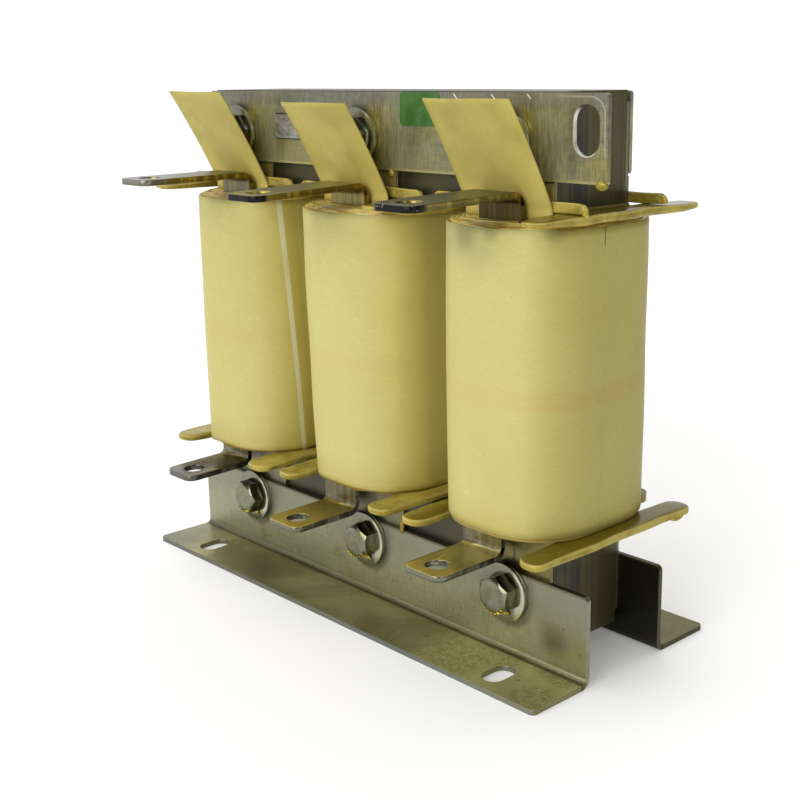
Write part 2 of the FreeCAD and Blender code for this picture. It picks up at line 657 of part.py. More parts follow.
# Paper flaps: stiff strips that stand behind the top terminals and lean over them
def make_flap(side, centre):
    """Section of a line and two arcs that run into each other, then its offset."""
    body = new_body(f"flap_{side}")
    thick = number("Sizes.flap_thickness")
    bend_turn = "(Sizes.flap_bend_arc / Sizes.flap_bend_radius * 1 rad)"
    sweep_turn = f"(Sizes.flap_{side}_sweep_arc / Sizes.flap_sweep_radius * 1 rad)"
    bend = number("Sizes.flap_bend_arc / Sizes.flap_bend_radius")
    sweep = bend + number(f"Sizes.flap_{side}_sweep_arc / Sizes.flap_sweep_radius")
    start = number(WINDING_TOP)
    knee = start + number("Sizes.flap_straight")
    forward = "Sizes.flap_middle_forward" if side == "middle" else "0"
    inside = f"({FLAP_FACE} + {forward})"
    outside = f"({FLAP_BACK} + {forward})"
    face = -number(inside)
    r_bend = number("Sizes.flap_bend_radius")
    r_sweep = number("Sizes.flap_sweep_radius")
    hub = FreeCAD.Vector(face - r_bend, knee, 0)

    def on_bend(angle, radius):
        return hub + FreeCAD.Vector(math.cos(angle), math.sin(angle), 0) * radius

    far_hub = on_bend(bend, r_bend - r_sweep)

    def on_sweep(angle, radius):
        return far_hub + FreeCAD.Vector(math.cos(angle), math.sin(angle), 0) * radius

    section = new_sketch(body, "YZ_Plane",
                         f"{centre} + Sizes.flap_{side}_offset - Sizes.flap_{side}_width / 2")
    half_bend = bend / 2
    half_sweep = (bend + sweep) / 2
    inner = []
    outer = []
    for chain, extra in ((inner, 0.0), (outer, thick)):
        foot = FreeCAD.Vector(face + extra, start, 0)
        bend_end = on_bend(bend, r_bend + extra)
        chain.append(sketch_line(section, foot, on_bend(0, r_bend + extra)))
        chain.append(section.addGeometry(Part.Arc(
            on_bend(0, r_bend + extra), on_bend(half_bend, r_bend + extra), bend_end)))
        chain.append(section.addGeometry(Part.Arc(
            bend_end, on_sweep(half_sweep, r_sweep + extra), on_sweep(sweep, r_sweep + extra))))
    base = sketch_line(section, FreeCAD.Vector(face, start, 0),
                       FreeCAD.Vector(face + thick, start, 0))
    crest = sketch_line(section, on_sweep(sweep, r_sweep), on_sweep(sweep, r_sweep + thick))
    add = section.addConstraint
    for chain in (inner, outer):
        add(Sketcher.Constraint("Vertical", chain[0]))
        add(Sketcher.Constraint("Tangent", chain[0], 2, chain[1], 1))
        add(Sketcher.Constraint("Tangent", chain[1], 2, chain[2], 1))
    add(Sketcher.Constraint("Coincident", base, 1, inner[0], 1))
    add(Sketcher.Constraint("Coincident", base, 2, outer[0], 1))
    add(Sketcher.Constraint("Horizontal", base))
    add(Sketcher.Constraint("Coincident", crest, 1, inner[2], 2))
    add(Sketcher.Constraint("Coincident", crest, 2, outer[2], 2))
    add(Sketcher.Constraint("Coincident", inner[1], 3, outer[1], 3))
    add(Sketcher.Constraint("Coincident", inner[2], 3, outer[2], 3))
    bind(section, "DistanceX", inner[0], 1, f"-{inside}")
    bind(section, "DistanceY", inner[0], 1, WINDING_TOP)
    bind(section, "DistanceX", outer[0], 1, f"-{outside}")
    bind(section, "DistanceY", inner[0], 2, f"{WINDING_TOP} + Sizes.flap_straight")
    bind_radius(section, inner[1], "Sizes.flap_bend_radius")
    bind_radius(section, inner[2], "Sizes.flap_sweep_radius")
    bind_angle(section, inner[1], bend_turn)
    bind_angle(section, inner[2], sweep_turn)
    add(Sketcher.Constraint("PointOnObject", inner[2], 3, crest))
    add_pad(body, section, f"Sizes.flap_{side}_width")
    return body


def sketch_line(sketch, start, end):
    return sketch.addGeometry(Part.LineSegment(start, end))


def bind_angle(sketch, geometry, text):
    """Holds the angle that an arc spans."""
    turn = FreeCAD.Units.Quantity(str(sheet.evalExpression(text)))
    value = math.radians(turn.getValueAs("deg").Value)
    index = sketch.addConstraint(Sketcher.Constraint("Angle", geometry, value))
    sketch.setExpression(f"Constraints[{index}]", text)


for side, centre in COILS.items():
    make_flap(side, centre)


# Fasteners: each kind is drawn once with its axis along Z and placed by links
def primitive(kind, name, **bound):
    item = doc.addObject(kind, name)
    for key, text in bound.items():
        item.setExpression(key.replace("__", "."), text)
    return item


def combine(kind, name, base, tool):
    item = doc.addObject(kind, name)
    item.Base = base
    item.Tool = tool
    return item


def hexagon(name, flats, height, start="0"):
    prism = primitive("Part::Prism", name, Circumradius=f"{flats} / sqrt(3)", Height=height,
                      Placement__Base__z=start)
    prism.Polygon = 6
    return prism


def chamfer_cone(name, flats, height, start="0"):
    """Cone that takes the corners off the free end of a hexagon."""
    return primitive("Part::Cone", name, Radius1=f"{flats} / 2 + 2 * ({height})",
                     Radius2=f"{flats} / 2 * 0.96", Height=height, Placement__Base__z=start)


flats = "Sizes.head_across_flats"
head = combine("Part::Common", "bolt_head",
               hexagon("head_hexagon", flats, "Sizes.head_height"),
               chamfer_cone("head_cone", flats, "Sizes.head_height"))
shank = primitive("Part::Cylinder", "bolt_shank", Radius="Sizes.bolt_diameter / 2",
                  Height="Sizes.bolt_length", Placement__Base__z="-Sizes.bolt_length")
bolt = combine("Part::Fuse", "bolt", head, shank)

disc = primitive("Part::Cylinder", "washer_disc", Radius="Sizes.washer_diameter / 2",
                 Height="Sizes.washer_thickness")
disc_hole = primitive("Part::Cylinder", "washer_hole", Radius="Sizes.bolt_hole_diameter / 2",
                      Height="Sizes.washer_thickness")
washer = combine("Part::Cut", "washer", disc, disc_hole)

coil_disc = primitive("Part::Cylinder", "lock_disc", Radius="Sizes.lock_washer_diameter / 2",
                      Height="Sizes.lock_washer_thickness")
coil_hole = primitive("Part::Cylinder", "lock_hole", Radius="Sizes.bolt_hole_diameter / 2",
                      Height="Sizes.lock_washer_thickness")
coil_ring = combine("Part::Cut", "lock_ring", coil_disc, coil_hole)
slit = primitive("Part::Box", "lock_slit", Length="Sizes.lock_washer_diameter",
                 Width="Sizes.lock_washer_slit", Height="Sizes.lock_washer_thickness",
                 Placement__Base__y="-Sizes.lock_washer_slit / 2")
lock_washer = combine("Part::Cut", "lock_washer", coil_ring, slit)

nut_top = combine("Part::Common", "nut_top",
                  hexagon("nut_upper", flats, "Sizes.nut_height / 2", "Sizes.nut_height / 2"),
                  chamfer_cone("nut_upper_cone", flats, "Sizes.nut_height / 2",
                               "Sizes.nut_height / 2"))
nut_low = hexagon("nut_lower", flats, "Sizes.nut_height / 2")
nut_blank = combine("Part::Fuse", "nut_blank", nut_low, nut_top)
nut_hole = primitive("Part::Cylinder", "nut_hole", Radius="Sizes.bolt_diameter / 2",
                     Height="Sizes.nut_height")
nut = combine("Part::Cut", "nut", nut_blank, nut_hole)


def place_rows(label, source, levels, towards_front):
    """One link of the fastener at each coil and each level, gathered in one compound."""
    turn = 90 if towards_front else -90
    links = []
    for low_or_high, height in (("low", "Sizes.bolt_low_height"), ("high", HIGH_BOLT)):
        for side, centre in COILS.items():
            link = doc.addObject("App::Link", f"{label}_{low_or_high}_{side}")
            link.LinkedObject = source
            link.LinkTransform = False
            link.Placement = FreeCAD.Placement(
                FreeCAD.Vector(0, 0, 0), FreeCAD.Rotation(FreeCAD.Vector(1, 0, 0), turn))
            link.setExpression("Placement.Base.x", centre)
            link.setExpression("Placement.Base.y", levels[low_or_high])
            link.setExpression("Placement.Base.z", height)
            links.append(link)
    return links


def gather(label, links):
    compound = doc.addObject("Part::Compound", label)
    compound.Label = label
    compound.Links = links
    parts.append(compound)


def plate_faces(extra):
    """Outer faces of the bracket and of the clamp bar, moved outwards by extra."""
    return {"low": f"({BRACKET_FACE} + {extra})", "high": f"({BAR_FACE} + {extra})"}


def mirrored(levels):
    return {key: f"-{text}" for key, text in levels.items()}


on_plate = plate_faces("0")
on_washer = plate_faces("Sizes.washer_thickness")
on_lock = plate_faces("Sizes.washer_thickness + Sizes.lock_washer_thickness")
gather("hex_bolts", place_rows("bolt_at", bolt, mirrored(on_washer), True))
gather("flat_washers", place_rows("front_washer", washer, mirrored(on_plate), True)
       + place_rows("rear_washer", washer, on_plate, False))
gather("lock_washers", place_rows("lock_at", lock_washer, on_washer, False))
gather("hex_nuts", place_rows("nut_at", nut, on_lock, False))

# Labels: a small rectangle of film and a blank foil strip on the front clamp bar
for label, top in (("inspection_label", BAR_TOP), ("foil_label", f"{BAR_TOP} - Sizes.foil_from_top")):
    size = "label" if label == "inspection_label" else "foil"
    body = new_body(label)
    face = new_sketch(body, "XZ_Plane", BAR_FACE)
    low = f"{top} - Sizes.{size}_height" if size == "label" else f"{top} + Sizes.{size}_height / 2"
    high = top if size == "label" else f"{top} - Sizes.{size}_height / 2"
    add_outline(face, [
        (f"Sizes.{size}_centre_x - Sizes.{size}_length / 2", low),
        (f"Sizes.{size}_centre_x + Sizes.{size}_length / 2", low),
        (f"Sizes.{size}_centre_x + Sizes.{size}_length / 2", high),
        (f"Sizes.{size}_centre_x - Sizes.{size}_length / 2", high),
    ])
    add_pad(body, face, f"Sizes.{size}_thickness")

doc.recompute()

for item in doc.Objects:
    if "Invalid" in item.State or "Error" in item.State:
        raise ValueError(f"{item.Label} did not recompute: {item.State}")
for part in parts:
    if part.Shape.isNull() or not part.Shape.isValid():
        raise ValueError(f"{part.Label} has no valid shape")

os.makedirs("parts", exist_ok=True)
for part in parts:
    part.Shape.exportStep(f"parts/{part.Label}.step")
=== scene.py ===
import bmesh
import bpy
import math
from mathutils import Euler, Matrix, Vector, noise


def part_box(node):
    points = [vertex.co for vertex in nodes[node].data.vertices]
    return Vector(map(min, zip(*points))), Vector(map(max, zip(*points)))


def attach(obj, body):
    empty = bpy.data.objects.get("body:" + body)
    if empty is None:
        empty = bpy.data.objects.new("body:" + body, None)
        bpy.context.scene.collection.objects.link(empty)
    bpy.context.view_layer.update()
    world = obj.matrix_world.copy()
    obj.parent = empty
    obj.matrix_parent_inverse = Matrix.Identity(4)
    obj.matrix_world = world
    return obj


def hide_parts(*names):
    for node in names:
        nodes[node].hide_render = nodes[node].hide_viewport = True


# Open-frame three-phase line reactor, dressed for a product photograph.
# X runs along the row of coils, -Y is the terminal side, +Z is up, all in metres.
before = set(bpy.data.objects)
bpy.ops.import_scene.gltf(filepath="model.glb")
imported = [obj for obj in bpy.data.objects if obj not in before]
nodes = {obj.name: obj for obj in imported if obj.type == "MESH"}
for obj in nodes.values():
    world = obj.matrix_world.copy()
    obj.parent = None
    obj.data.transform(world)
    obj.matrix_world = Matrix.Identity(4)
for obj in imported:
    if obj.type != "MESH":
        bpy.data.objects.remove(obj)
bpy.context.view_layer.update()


# Studio: a white sheet under a room that is bright on the left and darker on the right. A
# broad window in front on the left is the main light, a smaller one draws the right edges.
# The two classes that the room needs, Wire and Web, write all the shader nodes below.
class Wire:
    """One output of a shader node; arithmetic on it adds Math nodes."""

    def __init__(self, web, socket):
        self.web = web
        self.socket = socket

    def math(self, operation, *values):
        return self.web.node("ShaderNodeMath", {"operation": operation}, dict(enumerate(values)))

    def __add__(self, other):
        return self.math("ADD", self, other)

    def __sub__(self, other):
        return self.math("SUBTRACT", self, other)

    def __mul__(self, other):
        return self.math("MULTIPLY", self, other)

    def __rsub__(self, other):
        return self.math("SUBTRACT", other, self)

    __radd__ = __add__
    __rmul__ = __mul__


class Web:
    """A tree of shader nodes: every node in it comes from the method node()."""

    def __init__(self, tree):
        self.tree = tree
        self.tree.nodes.clear()

    def node(self, kind, settings, values, result=0):
        """Makes a node from its type, its settings, and its sockets' values or links."""
        made = self.tree.nodes.new(kind)
        for name, value in settings.items():
            setattr(made, name, value)
        for key, value in values.items():
            socket = made.inputs[key]
            if isinstance(value, Wire):
                self.tree.links.new(value.socket, socket)
            elif socket.type == "RGBA":
                socket.default_value = (*value, 1.0)
            else:
                socket.default_value = value
        return Wire(self, made.outputs[result] if len(made.outputs) else None)

    def between(self, value, start, end, low=0.0, high=1.0):
        """Goes smoothly from low to high while the value goes from start to end."""
        return self.node("ShaderNodeMapRange", {"interpolation_type": "SMOOTHSTEP"}, {
            "Value": value, "From Min": start, "From Max": end, "To Min": low, "To Max": high},
            "Result")


scene = bpy.context.scene
scene.view_settings.view_transform = "Standard"
scene.world = bpy.data.worlds.new("studio_room")
scene.world.use_nodes = True
room = Web(scene.world.node_tree)
heading = room.node("ShaderNodeTexCoord", {}, {}, "Generated")
towards_left = room.node("ShaderNodeVectorMath", {"operation": "DOT_PRODUCT"},
                         {0: heading, 1: (-1.0, 0.1, 0.1)}, "Value")
overhead = room.node("ShaderNodeVectorMath", {"operation": "DOT_PRODUCT"},
                     {0: heading, 1: (0.0, 0.0, 1.0)}, "Value")
glow = room.node("ShaderNodeBackground", {}, {
    "Color": (1.0, 1.0, 1.0), "Strength": room.between(towards_left, -0.35, 0.4, 0.06, 1.04)
    + room.between(overhead, 0.15, 0.85, 0.0, 0.35)})
room.node("ShaderNodeOutputWorld", {}, {"Surface": glow})

window = bpy.data.lights.new("window_left", "SUN")
window.energy = 1.55
window.angle = math.radians(40)
edge_light = bpy.data.lights.new("window_right", "AREA")
edge_light.shape = "RECTANGLE"
edge_light.size = 0.1
edge_light.size_y = 0.6
edge_light.energy = 1.2
aim = Vector((0.0, 0.0, 0.1))
for lamp, place in ((window, (0.22, -0.98, 0.5)), (edge_light, (1.0, -0.22, 0.4))):
    holder = bpy.data.objects.new(lamp.name, lamp)
    holder.location = place
    holder.rotation_euler = (Vector(place) - aim).to_track_quat("Z", "Y").to_euler()
    scene.collection.objects.link(holder)

view = bpy.data.cameras.new("view")
view.lens = 56.77
view.sensor_width = 36.0
view.shift_x = -0.04
view.shift_y = -0.0288
view.clip_start = 0.01
view_holder = bpy.data.objects.new("view", view)
view_holder.location = (0.367351, -0.329823, 0.207247)
view_holder.rotation_euler = Euler([math.radians(a) for a in (76.3637, 0.6523, 46.5875)])
scene.collection.objects.link(view_holder)
scene.camera = view_holder


class Finish(Web):
    """A material in the making, whose patterns lie on the place on the piece."""

    def __init__(self, name):
        self.material = bpy.data.materials.new(name)
        self.material.use_nodes = True
        super().__init__(self.material.node_tree)
        self.place = self.node("ShaderNodeTexCoord", {}, {}, "Object")
        self.across, self.deep, self.high = self.split(self.place)

    def split(self, vector):
        """The three components of a vector or colour."""
        parts = self.node("ShaderNodeSeparateXYZ", {}, {"Vector": vector})
        return [Wire(self, parts.socket.node.outputs[axis]) for axis in "XYZ"]

    def scaled(self, amounts, shift=(0.0, 0.0, 0.0)):
        """Place on the piece with each direction stretched by its own amount."""
        return self.node("ShaderNodeMapping", {}, {
            "Vector": self.place, "Scale": amounts, "Location": shift})

    def facing(self, axis):
        """How far the surface faces right for X, rearwards for Y or up for Z."""
        normal = self.node("ShaderNodeNewGeometry", {}, {}, "Normal")
        return self.split(normal)["XYZ".index(axis)]

    def cloud(self, scale, detail=2.0, rough=0.5, place=None, warp=0.0):
        """Soft irregular patches, smaller with the scale and busier with the detail."""
        return self.node("ShaderNodeTexNoise", {}, {
            "Vector": place or self.place, "Scale": scale, "Detail": detail,
            "Roughness": rough, "Distortion": warp}, "Fac")

    def cells(self, scale, place=None):
        """Distance from the nearest of many scattered points."""
        return self.node("ShaderNodeTexVoronoi", {}, {
            "Vector": place or self.place, "Scale": scale}, "Distance")

    def near(self, point, inner, outer):
        """Is 1 up to the inner distance from a point and 0 from the outer one on."""
        gap = self.node("ShaderNodeVectorMath", {"operation": "DISTANCE"},
                        {0: self.place, 1: point}, "Value")
        return self.between(gap, outer, inner)

    def strip(self, value, start, end, soft):
        """Is 1 where the value lies from start to end, with soft borders."""
        return self.between(value, start - soft, start) * self.between(value, end + soft, end)

    def mix(self, amount, first, second):
        """Colour that is the first one where the amount is 0 and the second where it is 1."""
        return self.node("ShaderNodeMix", {"data_type": "RGBA"},
                         {0: amount, 6: first, 7: second}, 2)

    def paint(self, amount, colour):
        """Lays a colour over the material's tone so far, as strongly as the amount says."""
        self.tone = self.mix(amount, self.tone, colour)

    def bump(self, height, depth, strength=1.0, under=None):
        """Relief of a given depth in metres, laid over another relief if there is one."""
        values = {"Height": height, "Distance": depth, "Strength": strength}
        if under:
            values["Normal"] = under
        return self.node("ShaderNodeBump", {}, values, "Normal")

    def surface(self, **values):
        """Closes the material; the sockets' names are written with underscores for spaces."""
        shader = self.node("ShaderNodeBsdfPrincipled", {},
                           {key.replace("_", " "): value for key, value in values.items()}, "BSDF")
        self.node("ShaderNodeOutputMaterial", {}, {"Surface": shader})


sheet_finish = Finish("white_sheet")
sheet_finish.surface(
    Base_Color=sheet_finish.mix(sheet_finish.cloud(3.0), (0.95, 0.95, 0.945), (0.97, 0.97, 0.965)),
    Roughness=0.8, Emission_Color=(1.0, 1.0, 0.99), Emission_Strength=0.14)
sheet = bmesh.new()
bmesh.ops.create_circle(sheet, cap_ends=True, segments=96, radius=9.0)
sheet_mesh = bpy.data.meshes.new("white_sheet")
sheet.to_mesh(sheet_mesh)
sheet.free()
sheet_mesh.materials.append(sheet_finish.material)
floor = bpy.data.objects.new("white_sheet", sheet_mesh)
scene.collection.objects.link(floor)


# Core: thin sheets of transformer steel, stacked from front to rear and dipped in varnish.
# The cut edges of the sheets show as fine upright lines on its ends, and its front face
# is the broad side of the first sheet.
def soften(node, width):
    """Rounds the sheared edges of a solid that keeps its drawn shape."""
    weld = node.modifiers.new("weld", "WELD")
    weld.merge_threshold = 0.00001
    edges = node.modifiers.new("edges", "BEVEL")
    edges.width = width
    edges.segments = 2
    edges.limit_method = "ANGLE"
    edges.angle_limit = math.radians(40)
    edges.harden_normals = True


def dress(name, finish, width):
    """Gives a solid its finish, and edges rounded by the width unless that is nothing."""
    node = nodes[name]
    for slot in node.material_slots:
        slot.link = "OBJECT"
        slot.material = finish.material
    if width:
        soften(node, width)


core = Finish("stacked_core")
sheet_edges = core.cloud(1.0, 3.0, 0.75, core.scaled((3.0, 1500.0, 3.0)))
coarse_edges = core.cloud(1.0, 1.0, 0.5, core.scaled((2.0, 420.0, 2.0), (0.0, 7.0, 0.0)))
core_stain = core.cloud(34.0, 3.0, 0.55)
rearward = core.between(core.deep + core_stain * 0.004, -0.003, 0.001)
core.tone = core.mix(rearward, (0.044, 0.044, 0.038), (0.085, 0.076, 0.034))
core.paint(core.between(core_stain, 0.42, 0.62) * 0.6, (0.1, 0.085, 0.03))
core.paint(core.between(sheet_edges * 0.6 + coarse_edges * 0.4, 0.46, 0.62) * 0.45,
           (0.14, 0.13, 0.085))
core_bump = core.bump(sheet_edges, 0.00015, 0.8)
core.surface(Base_Color=core.tone, Metallic=0.75, Roughness=0.3 + sheet_edges * 0.2,
             Specular_IOR_Level=0.25, Normal=core_bump)
for name in ("core_e_stack", "core_i_yoke"):
    dress(name, core, 0.0003)

# Gap spacers: brown pressboard between the legs and the upper yoke, cut flush with the core.
# They set the air gap, and the tie straps hold the yoke down on them.
COILS = {side: sum(corner[0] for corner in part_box(f"outer_wrap_{side}")) / 2
         for side in ("left", "middle", "right")}
spacer_board = Finish("gap_board")
board_fibre = spacer_board.cloud(500.0, 3.0, 0.6)
spacer_board.surface(
    Base_Color=spacer_board.mix(board_fibre, (0.2, 0.15, 0.06), (0.32, 0.26, 0.12)),
    Roughness=0.6, Normal=spacer_board.bump(board_fibre, 0.0001, 0.5))
for side in COILS:
    dress(f"gap_spacer_{side}", spacer_board, 0.0)


# Tie straps: strips of rolled steel on the front and rear of each leg, which hold the two
# yokes together. They are bolted through at both ends and were dipped with the core.
BRACKET_FACE, BAR_FACE = 0.0211, 0.0206
LOW_BOLTS, HIGH_BOLTS = 0.0248, 0.1835
BOLT_AXES = [(x, face, z) for x in COILS.values()
             for face, z in ((BRACKET_FACE, LOW_BOLTS), (BAR_FACE, HIGH_BOLTS))]
WASHER_RADIUS = 0.0111


def varnished_steel(name, metal, olive, amount, contrast):
    """Rolled sheet under clouded varnish, olive where thick, with painted shadow round each washer."""
    steel = Finish(name)
    steel.grain = steel.cloud(1.0, 4.0, 0.7, steel.scaled((1300.0, 1300.0, 160.0)))
    cross = steel.cloud(1.0, 3.0, 0.6, steel.scaled((160.0, 160.0, 1500.0), (2.0, 5.0, 1.0)))
    soft = steel.cloud(13.0, 4.0, 0.55, warp=0.6)
    fleck = steel.cloud(430.0, 3.0, 0.6)
    dark = [part / (1.0 + contrast) for part in metal]
    light = [part * (1.0 + contrast) for part in metal]
    weave = steel.between(steel.grain * 0.5 + cross * 0.25 + fleck * 0.25, 0.4, 0.6)
    steel.tone = steel.mix(weave, dark, light)
    steel.wet = steel.between(soft + fleck * 0.06, 0.62 - amount, 0.74 - amount)
    steel.paint(steel.wet * 0.85, steel.mix(weave, [c * 0.75 for c in olive], olive))
    # Painted shadow: a dark ring just outside each washer, where the washers shade the steel.
    ring = 0.0
    for x, _, z in BOLT_AXES:
        centre = (x + 0.0014, -0.0208, z - 0.0003)
        ring = steel.near(centre, WASHER_RADIUS + 0.0001, WASHER_RADIUS + 0.0031) + ring
    ring = ring.math("MINIMUM", ring, 1.0)
    steel.paint(ring * 0.6, (0.035, 0.033, 0.012))
    return steel


def finish_steel(steel, shine=0.36, metal=0.9, lines=0.55):
    """Closes a sheet's material, with rolling lines under the edges of the varnish."""
    scratch = steel.bump(steel.grain, 0.00004, lines)
    coat = steel.bump(steel.wet, 0.0001, 0.4, scratch)
    roughness = shine + steel.grain * 0.14 - steel.wet * 0.1
    steel.surface(Base_Color=steel.tone, Metallic=metal, Roughness=roughness, Specular_IOR_Level=0.3,
                  Coat_Weight=steel.wet * 0.2, Coat_Roughness=0.16, Normal=coat)


strap = varnished_steel("strap_steel", (0.22, 0.212, 0.14), (0.2, 0.165, 0.045), 0.1, 0.14)
finish_steel(strap)
for face in ("front", "rear"):
    for side in COILS:
        dress(f"{face}_strap_{side}", strap, 0.00025)


# Clamp bars: sheared steel bars in front of and behind the upper yoke, each with a slot at one
# end, bolted on. Varnish ran from the bolts and set in olive bands, with bare grey between.
def rounded_gap(finish, centre, half, radius):
    """Distance from a rectangle with round corners in the plane of the bars."""
    aside = finish.across - centre[0]
    above = finish.high - centre[1]
    aside = aside.math("ABSOLUTE", aside) - (half[0] - radius)
    above = above.math("ABSOLUTE", above) - (half[1] - radius)
    over = aside.math("MAXIMUM", aside, 0.0)
    under = above.math("MAXIMUM", above, 0.0)
    inside = aside.math("MINIMUM", aside.math("MAXIMUM", aside, above), 0.0)
    squares = over * over + under * under
    return squares.math("SQRT", squares) + inside - radius


COIL_PITCH = COILS["right"] - COILS["middle"]
BAND_START = -0.0107
SLOT_CENTRE, SLOT_HALF = (0.1101, 0.1886), (0.0052, 0.00795)
ARC_CENTRE, ARC_HALF, ARC_RADIUS = (0.0, 0.18605), (0.1177, 0.0131), 0.006
SCRATCHES = ((0.0518, 0.1988), (0.0698, 0.1987), (0.0859, 0.1989))
bar = varnished_steel("bar_steel", (0.19, 0.186, 0.125), (0.29, 0.25, 0.075), 0.08, 0.36)
rise = bar.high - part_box("front_clamp_bar")[0][2]
drips = bar.cloud(1.0, 3.0, 0.6, bar.scaled((130.0, 130.0, 9.0), (0.4, 0.0, 0.0)))
low_olive = bar.between(rise + drips * 0.012, 0.02, 0.008)
low_olive *= bar.between(bar.across, 0.06, 0.1, 0.5, 0.15)
bar.paint(low_olive, (0.27, 0.24, 0.08))
past_bolt = bar.across.math("WRAP", bar.across, BAND_START + COIL_PITCH, BAND_START) + drips * 0.006
pooled = bar.cloud(90.0, 4.0, 0.6, warp=0.5)
beside_bolt = bar.strip(past_bolt + pooled * 0.008, 0.0155, 0.0225, 0.006)
beside_bolt *= bar.between(rise + pooled * 0.01, 0.034, 0.022)
bar.paint(beside_bolt * bar.between(pooled, 0.3, 0.55, 0.35, 0.85),
          bar.mix(bar.between(bar.grain, 0.4, 0.6), (0.22, 0.18, 0.025), (0.42, 0.35, 0.08)))
past_flap = bar.strip(past_bolt + pooled * 0.006, 0.0215, 0.0295, 0.005)
past_flap *= bar.between(bar.across, 0.0, 0.06, 0.6, 1.0)
bar.paint(past_flap * 0.75,
          bar.mix(bar.between(bar.grain, 0.35, 0.65), (0.31, 0.3, 0.17), (0.46, 0.45, 0.27)))
grey_top = bar.between(rise + drips * 0.004, 0.0235, 0.0275)
bar.paint(grey_top * 0.4, (0.15, 0.158, 0.145))
low_rim = bar.between(rise, 0.0011, 0.0006)
bar.paint(low_rim * 0.45, (0.5, 0.45, 0.18))
in_front = bar.between(bar.deep, 0.0, -0.01)
for x, z in SCRATCHES:
    scratch = bar.strip(bar.across - x + (bar.high - z), -0.0002, 0.0002, 0.0001)
    scratch *= bar.strip(bar.high, z - 0.0007, z + 0.0007, 0.0002)
    bar.paint(scratch * in_front, (0.95, 0.95, 0.88))
slot_rim = rounded_gap(bar, SLOT_CENTRE, SLOT_HALF, SLOT_HALF[0])
# Painted highlight on the lower left of the slot's rim and painted shade on its right.
lit_part = bar.between(bar.across * -1.0 - bar.high * 0.5, -0.2055, -0.2035)
slot_rim_light_and_shade = bar.mix(lit_part, (0.05, 0.046, 0.025), (0.85, 0.86, 0.78))
bar.paint(bar.strip(slot_rim, -0.002, 0.0002, 0.0002) * 0.65, slot_rim_light_and_shade)
# A thin bright arc in the bar's upper right corner: the edge of the varnish film, with a painted
# highlight on it.
varnish_edge_highlight = bar.strip(rounded_gap(bar, ARC_CENTRE, ARC_HALF, ARC_RADIUS), -0.0003, 0.0, 0.0002)
varnish_edge_highlight *= bar.between(bar.across, 0.096, 0.106) * bar.between(rise, 0.004, 0.012)
bar.paint(varnish_edge_highlight * 0.3, (0.7, 0.7, 0.6))
nick = bar.between(bar.cells(75.0, bar.scaled((1.0, 1.0, 0.35), (0.0, 0.0, 0.2))), 0.05, 0.03)
nick *= bar.between(rise, 0.021, 0.024)
bar.paint(nick * 0.7, (0.75, 0.75, 0.7))
finish_steel(bar, 0.33, 0.6)
for name in ("front_clamp_bar", "rear_clamp_bar"):
    dress(name, bar, 0.0002)

# Base brackets: angles bent from 2 mm steel sheet, which stand on their slotted feet and are
# bolted along the lower yoke. The rear one is painted dark with shade inside and on its foot,
# which is scaly with varnish.
KNIT_PATCHES = ((0.06, -0.034, 0.008), (0.071, -0.031, 0.007), (0.081, -0.027, 0.005),
                (0.058, -0.042, 0.003), (0.067, -0.0425, 0.003), (0.075, -0.0425, 0.003),
                (0.1, -0.0225, 0.0035), (0.108, -0.0235, 0.0035), (0.108, -0.042, 0.006))
bracket = varnished_steel("bracket_steel", (0.32, 0.322, 0.208), (0.28, 0.265, 0.1), 0.06, 0.1)
foot = bracket.between(bracket.high, 0.0034, 0.0022)
foot_cloud = bracket.cloud(24.0, 4.0, 0.6, warp=0.8)
foot_tone = bracket.mix(bracket.between(foot_cloud, 0.36, 0.64),
                        (0.23, 0.216, 0.085), (0.45, 0.435, 0.2))
bracket.paint(foot * 0.85, foot_tone)
right_foot = bracket.between(bracket.across, 0.03, 0.09) * foot
bracket.paint(right_foot * 0.85,
              bracket.mix(foot_cloud, (0.46, 0.44, 0.18), (0.95, 0.93, 0.5)))
upper = bracket.between(bracket.high + foot_cloud * 0.01, 0.02, 0.034)
bracket.paint(upper * 0.6, (0.225, 0.23, 0.185))
left_foot = bracket.between(bracket.across, -0.085, -0.11) * foot
bracket.paint(left_foot * 0.6, (0.2, 0.205, 0.17))
right_upright = bracket.between(bracket.across, 0.075, 0.11) * (1.0 - foot)
bracket.paint(right_upright * 0.5, (0.25, 0.256, 0.21))
back = bracket.facing("Y")
upward = bracket.facing("Z")
sheared = bracket.between(upward.math("ABSOLUTE", upward), 0.5, 0.25)
sheared *= bracket.between(bracket.high, 0.0032, 0.0022)
bracket.paint(sheared * 0.85, bracket.mix(
    bracket.between(back, -0.4, -0.8), (0.13, 0.124, 0.045), (0.15, 0.158, 0.152)))
# Painted shade on the rear bracket's faces that turn from its outer side, with scales of varnish on its
# foot.
behind = bracket.between(bracket.deep, 0.016, 0.019)
scales = bracket.cells(380.0, bracket.scaled((1.0, 1.6, 1.0)))
shaded_faces = bracket.between(back, 0.6, 0.3)
bracket.paint(behind * shaded_faces * 0.92,
              bracket.mix(scales * foot, (0.05, 0.047, 0.02), (0.09, 0.08, 0.014)))
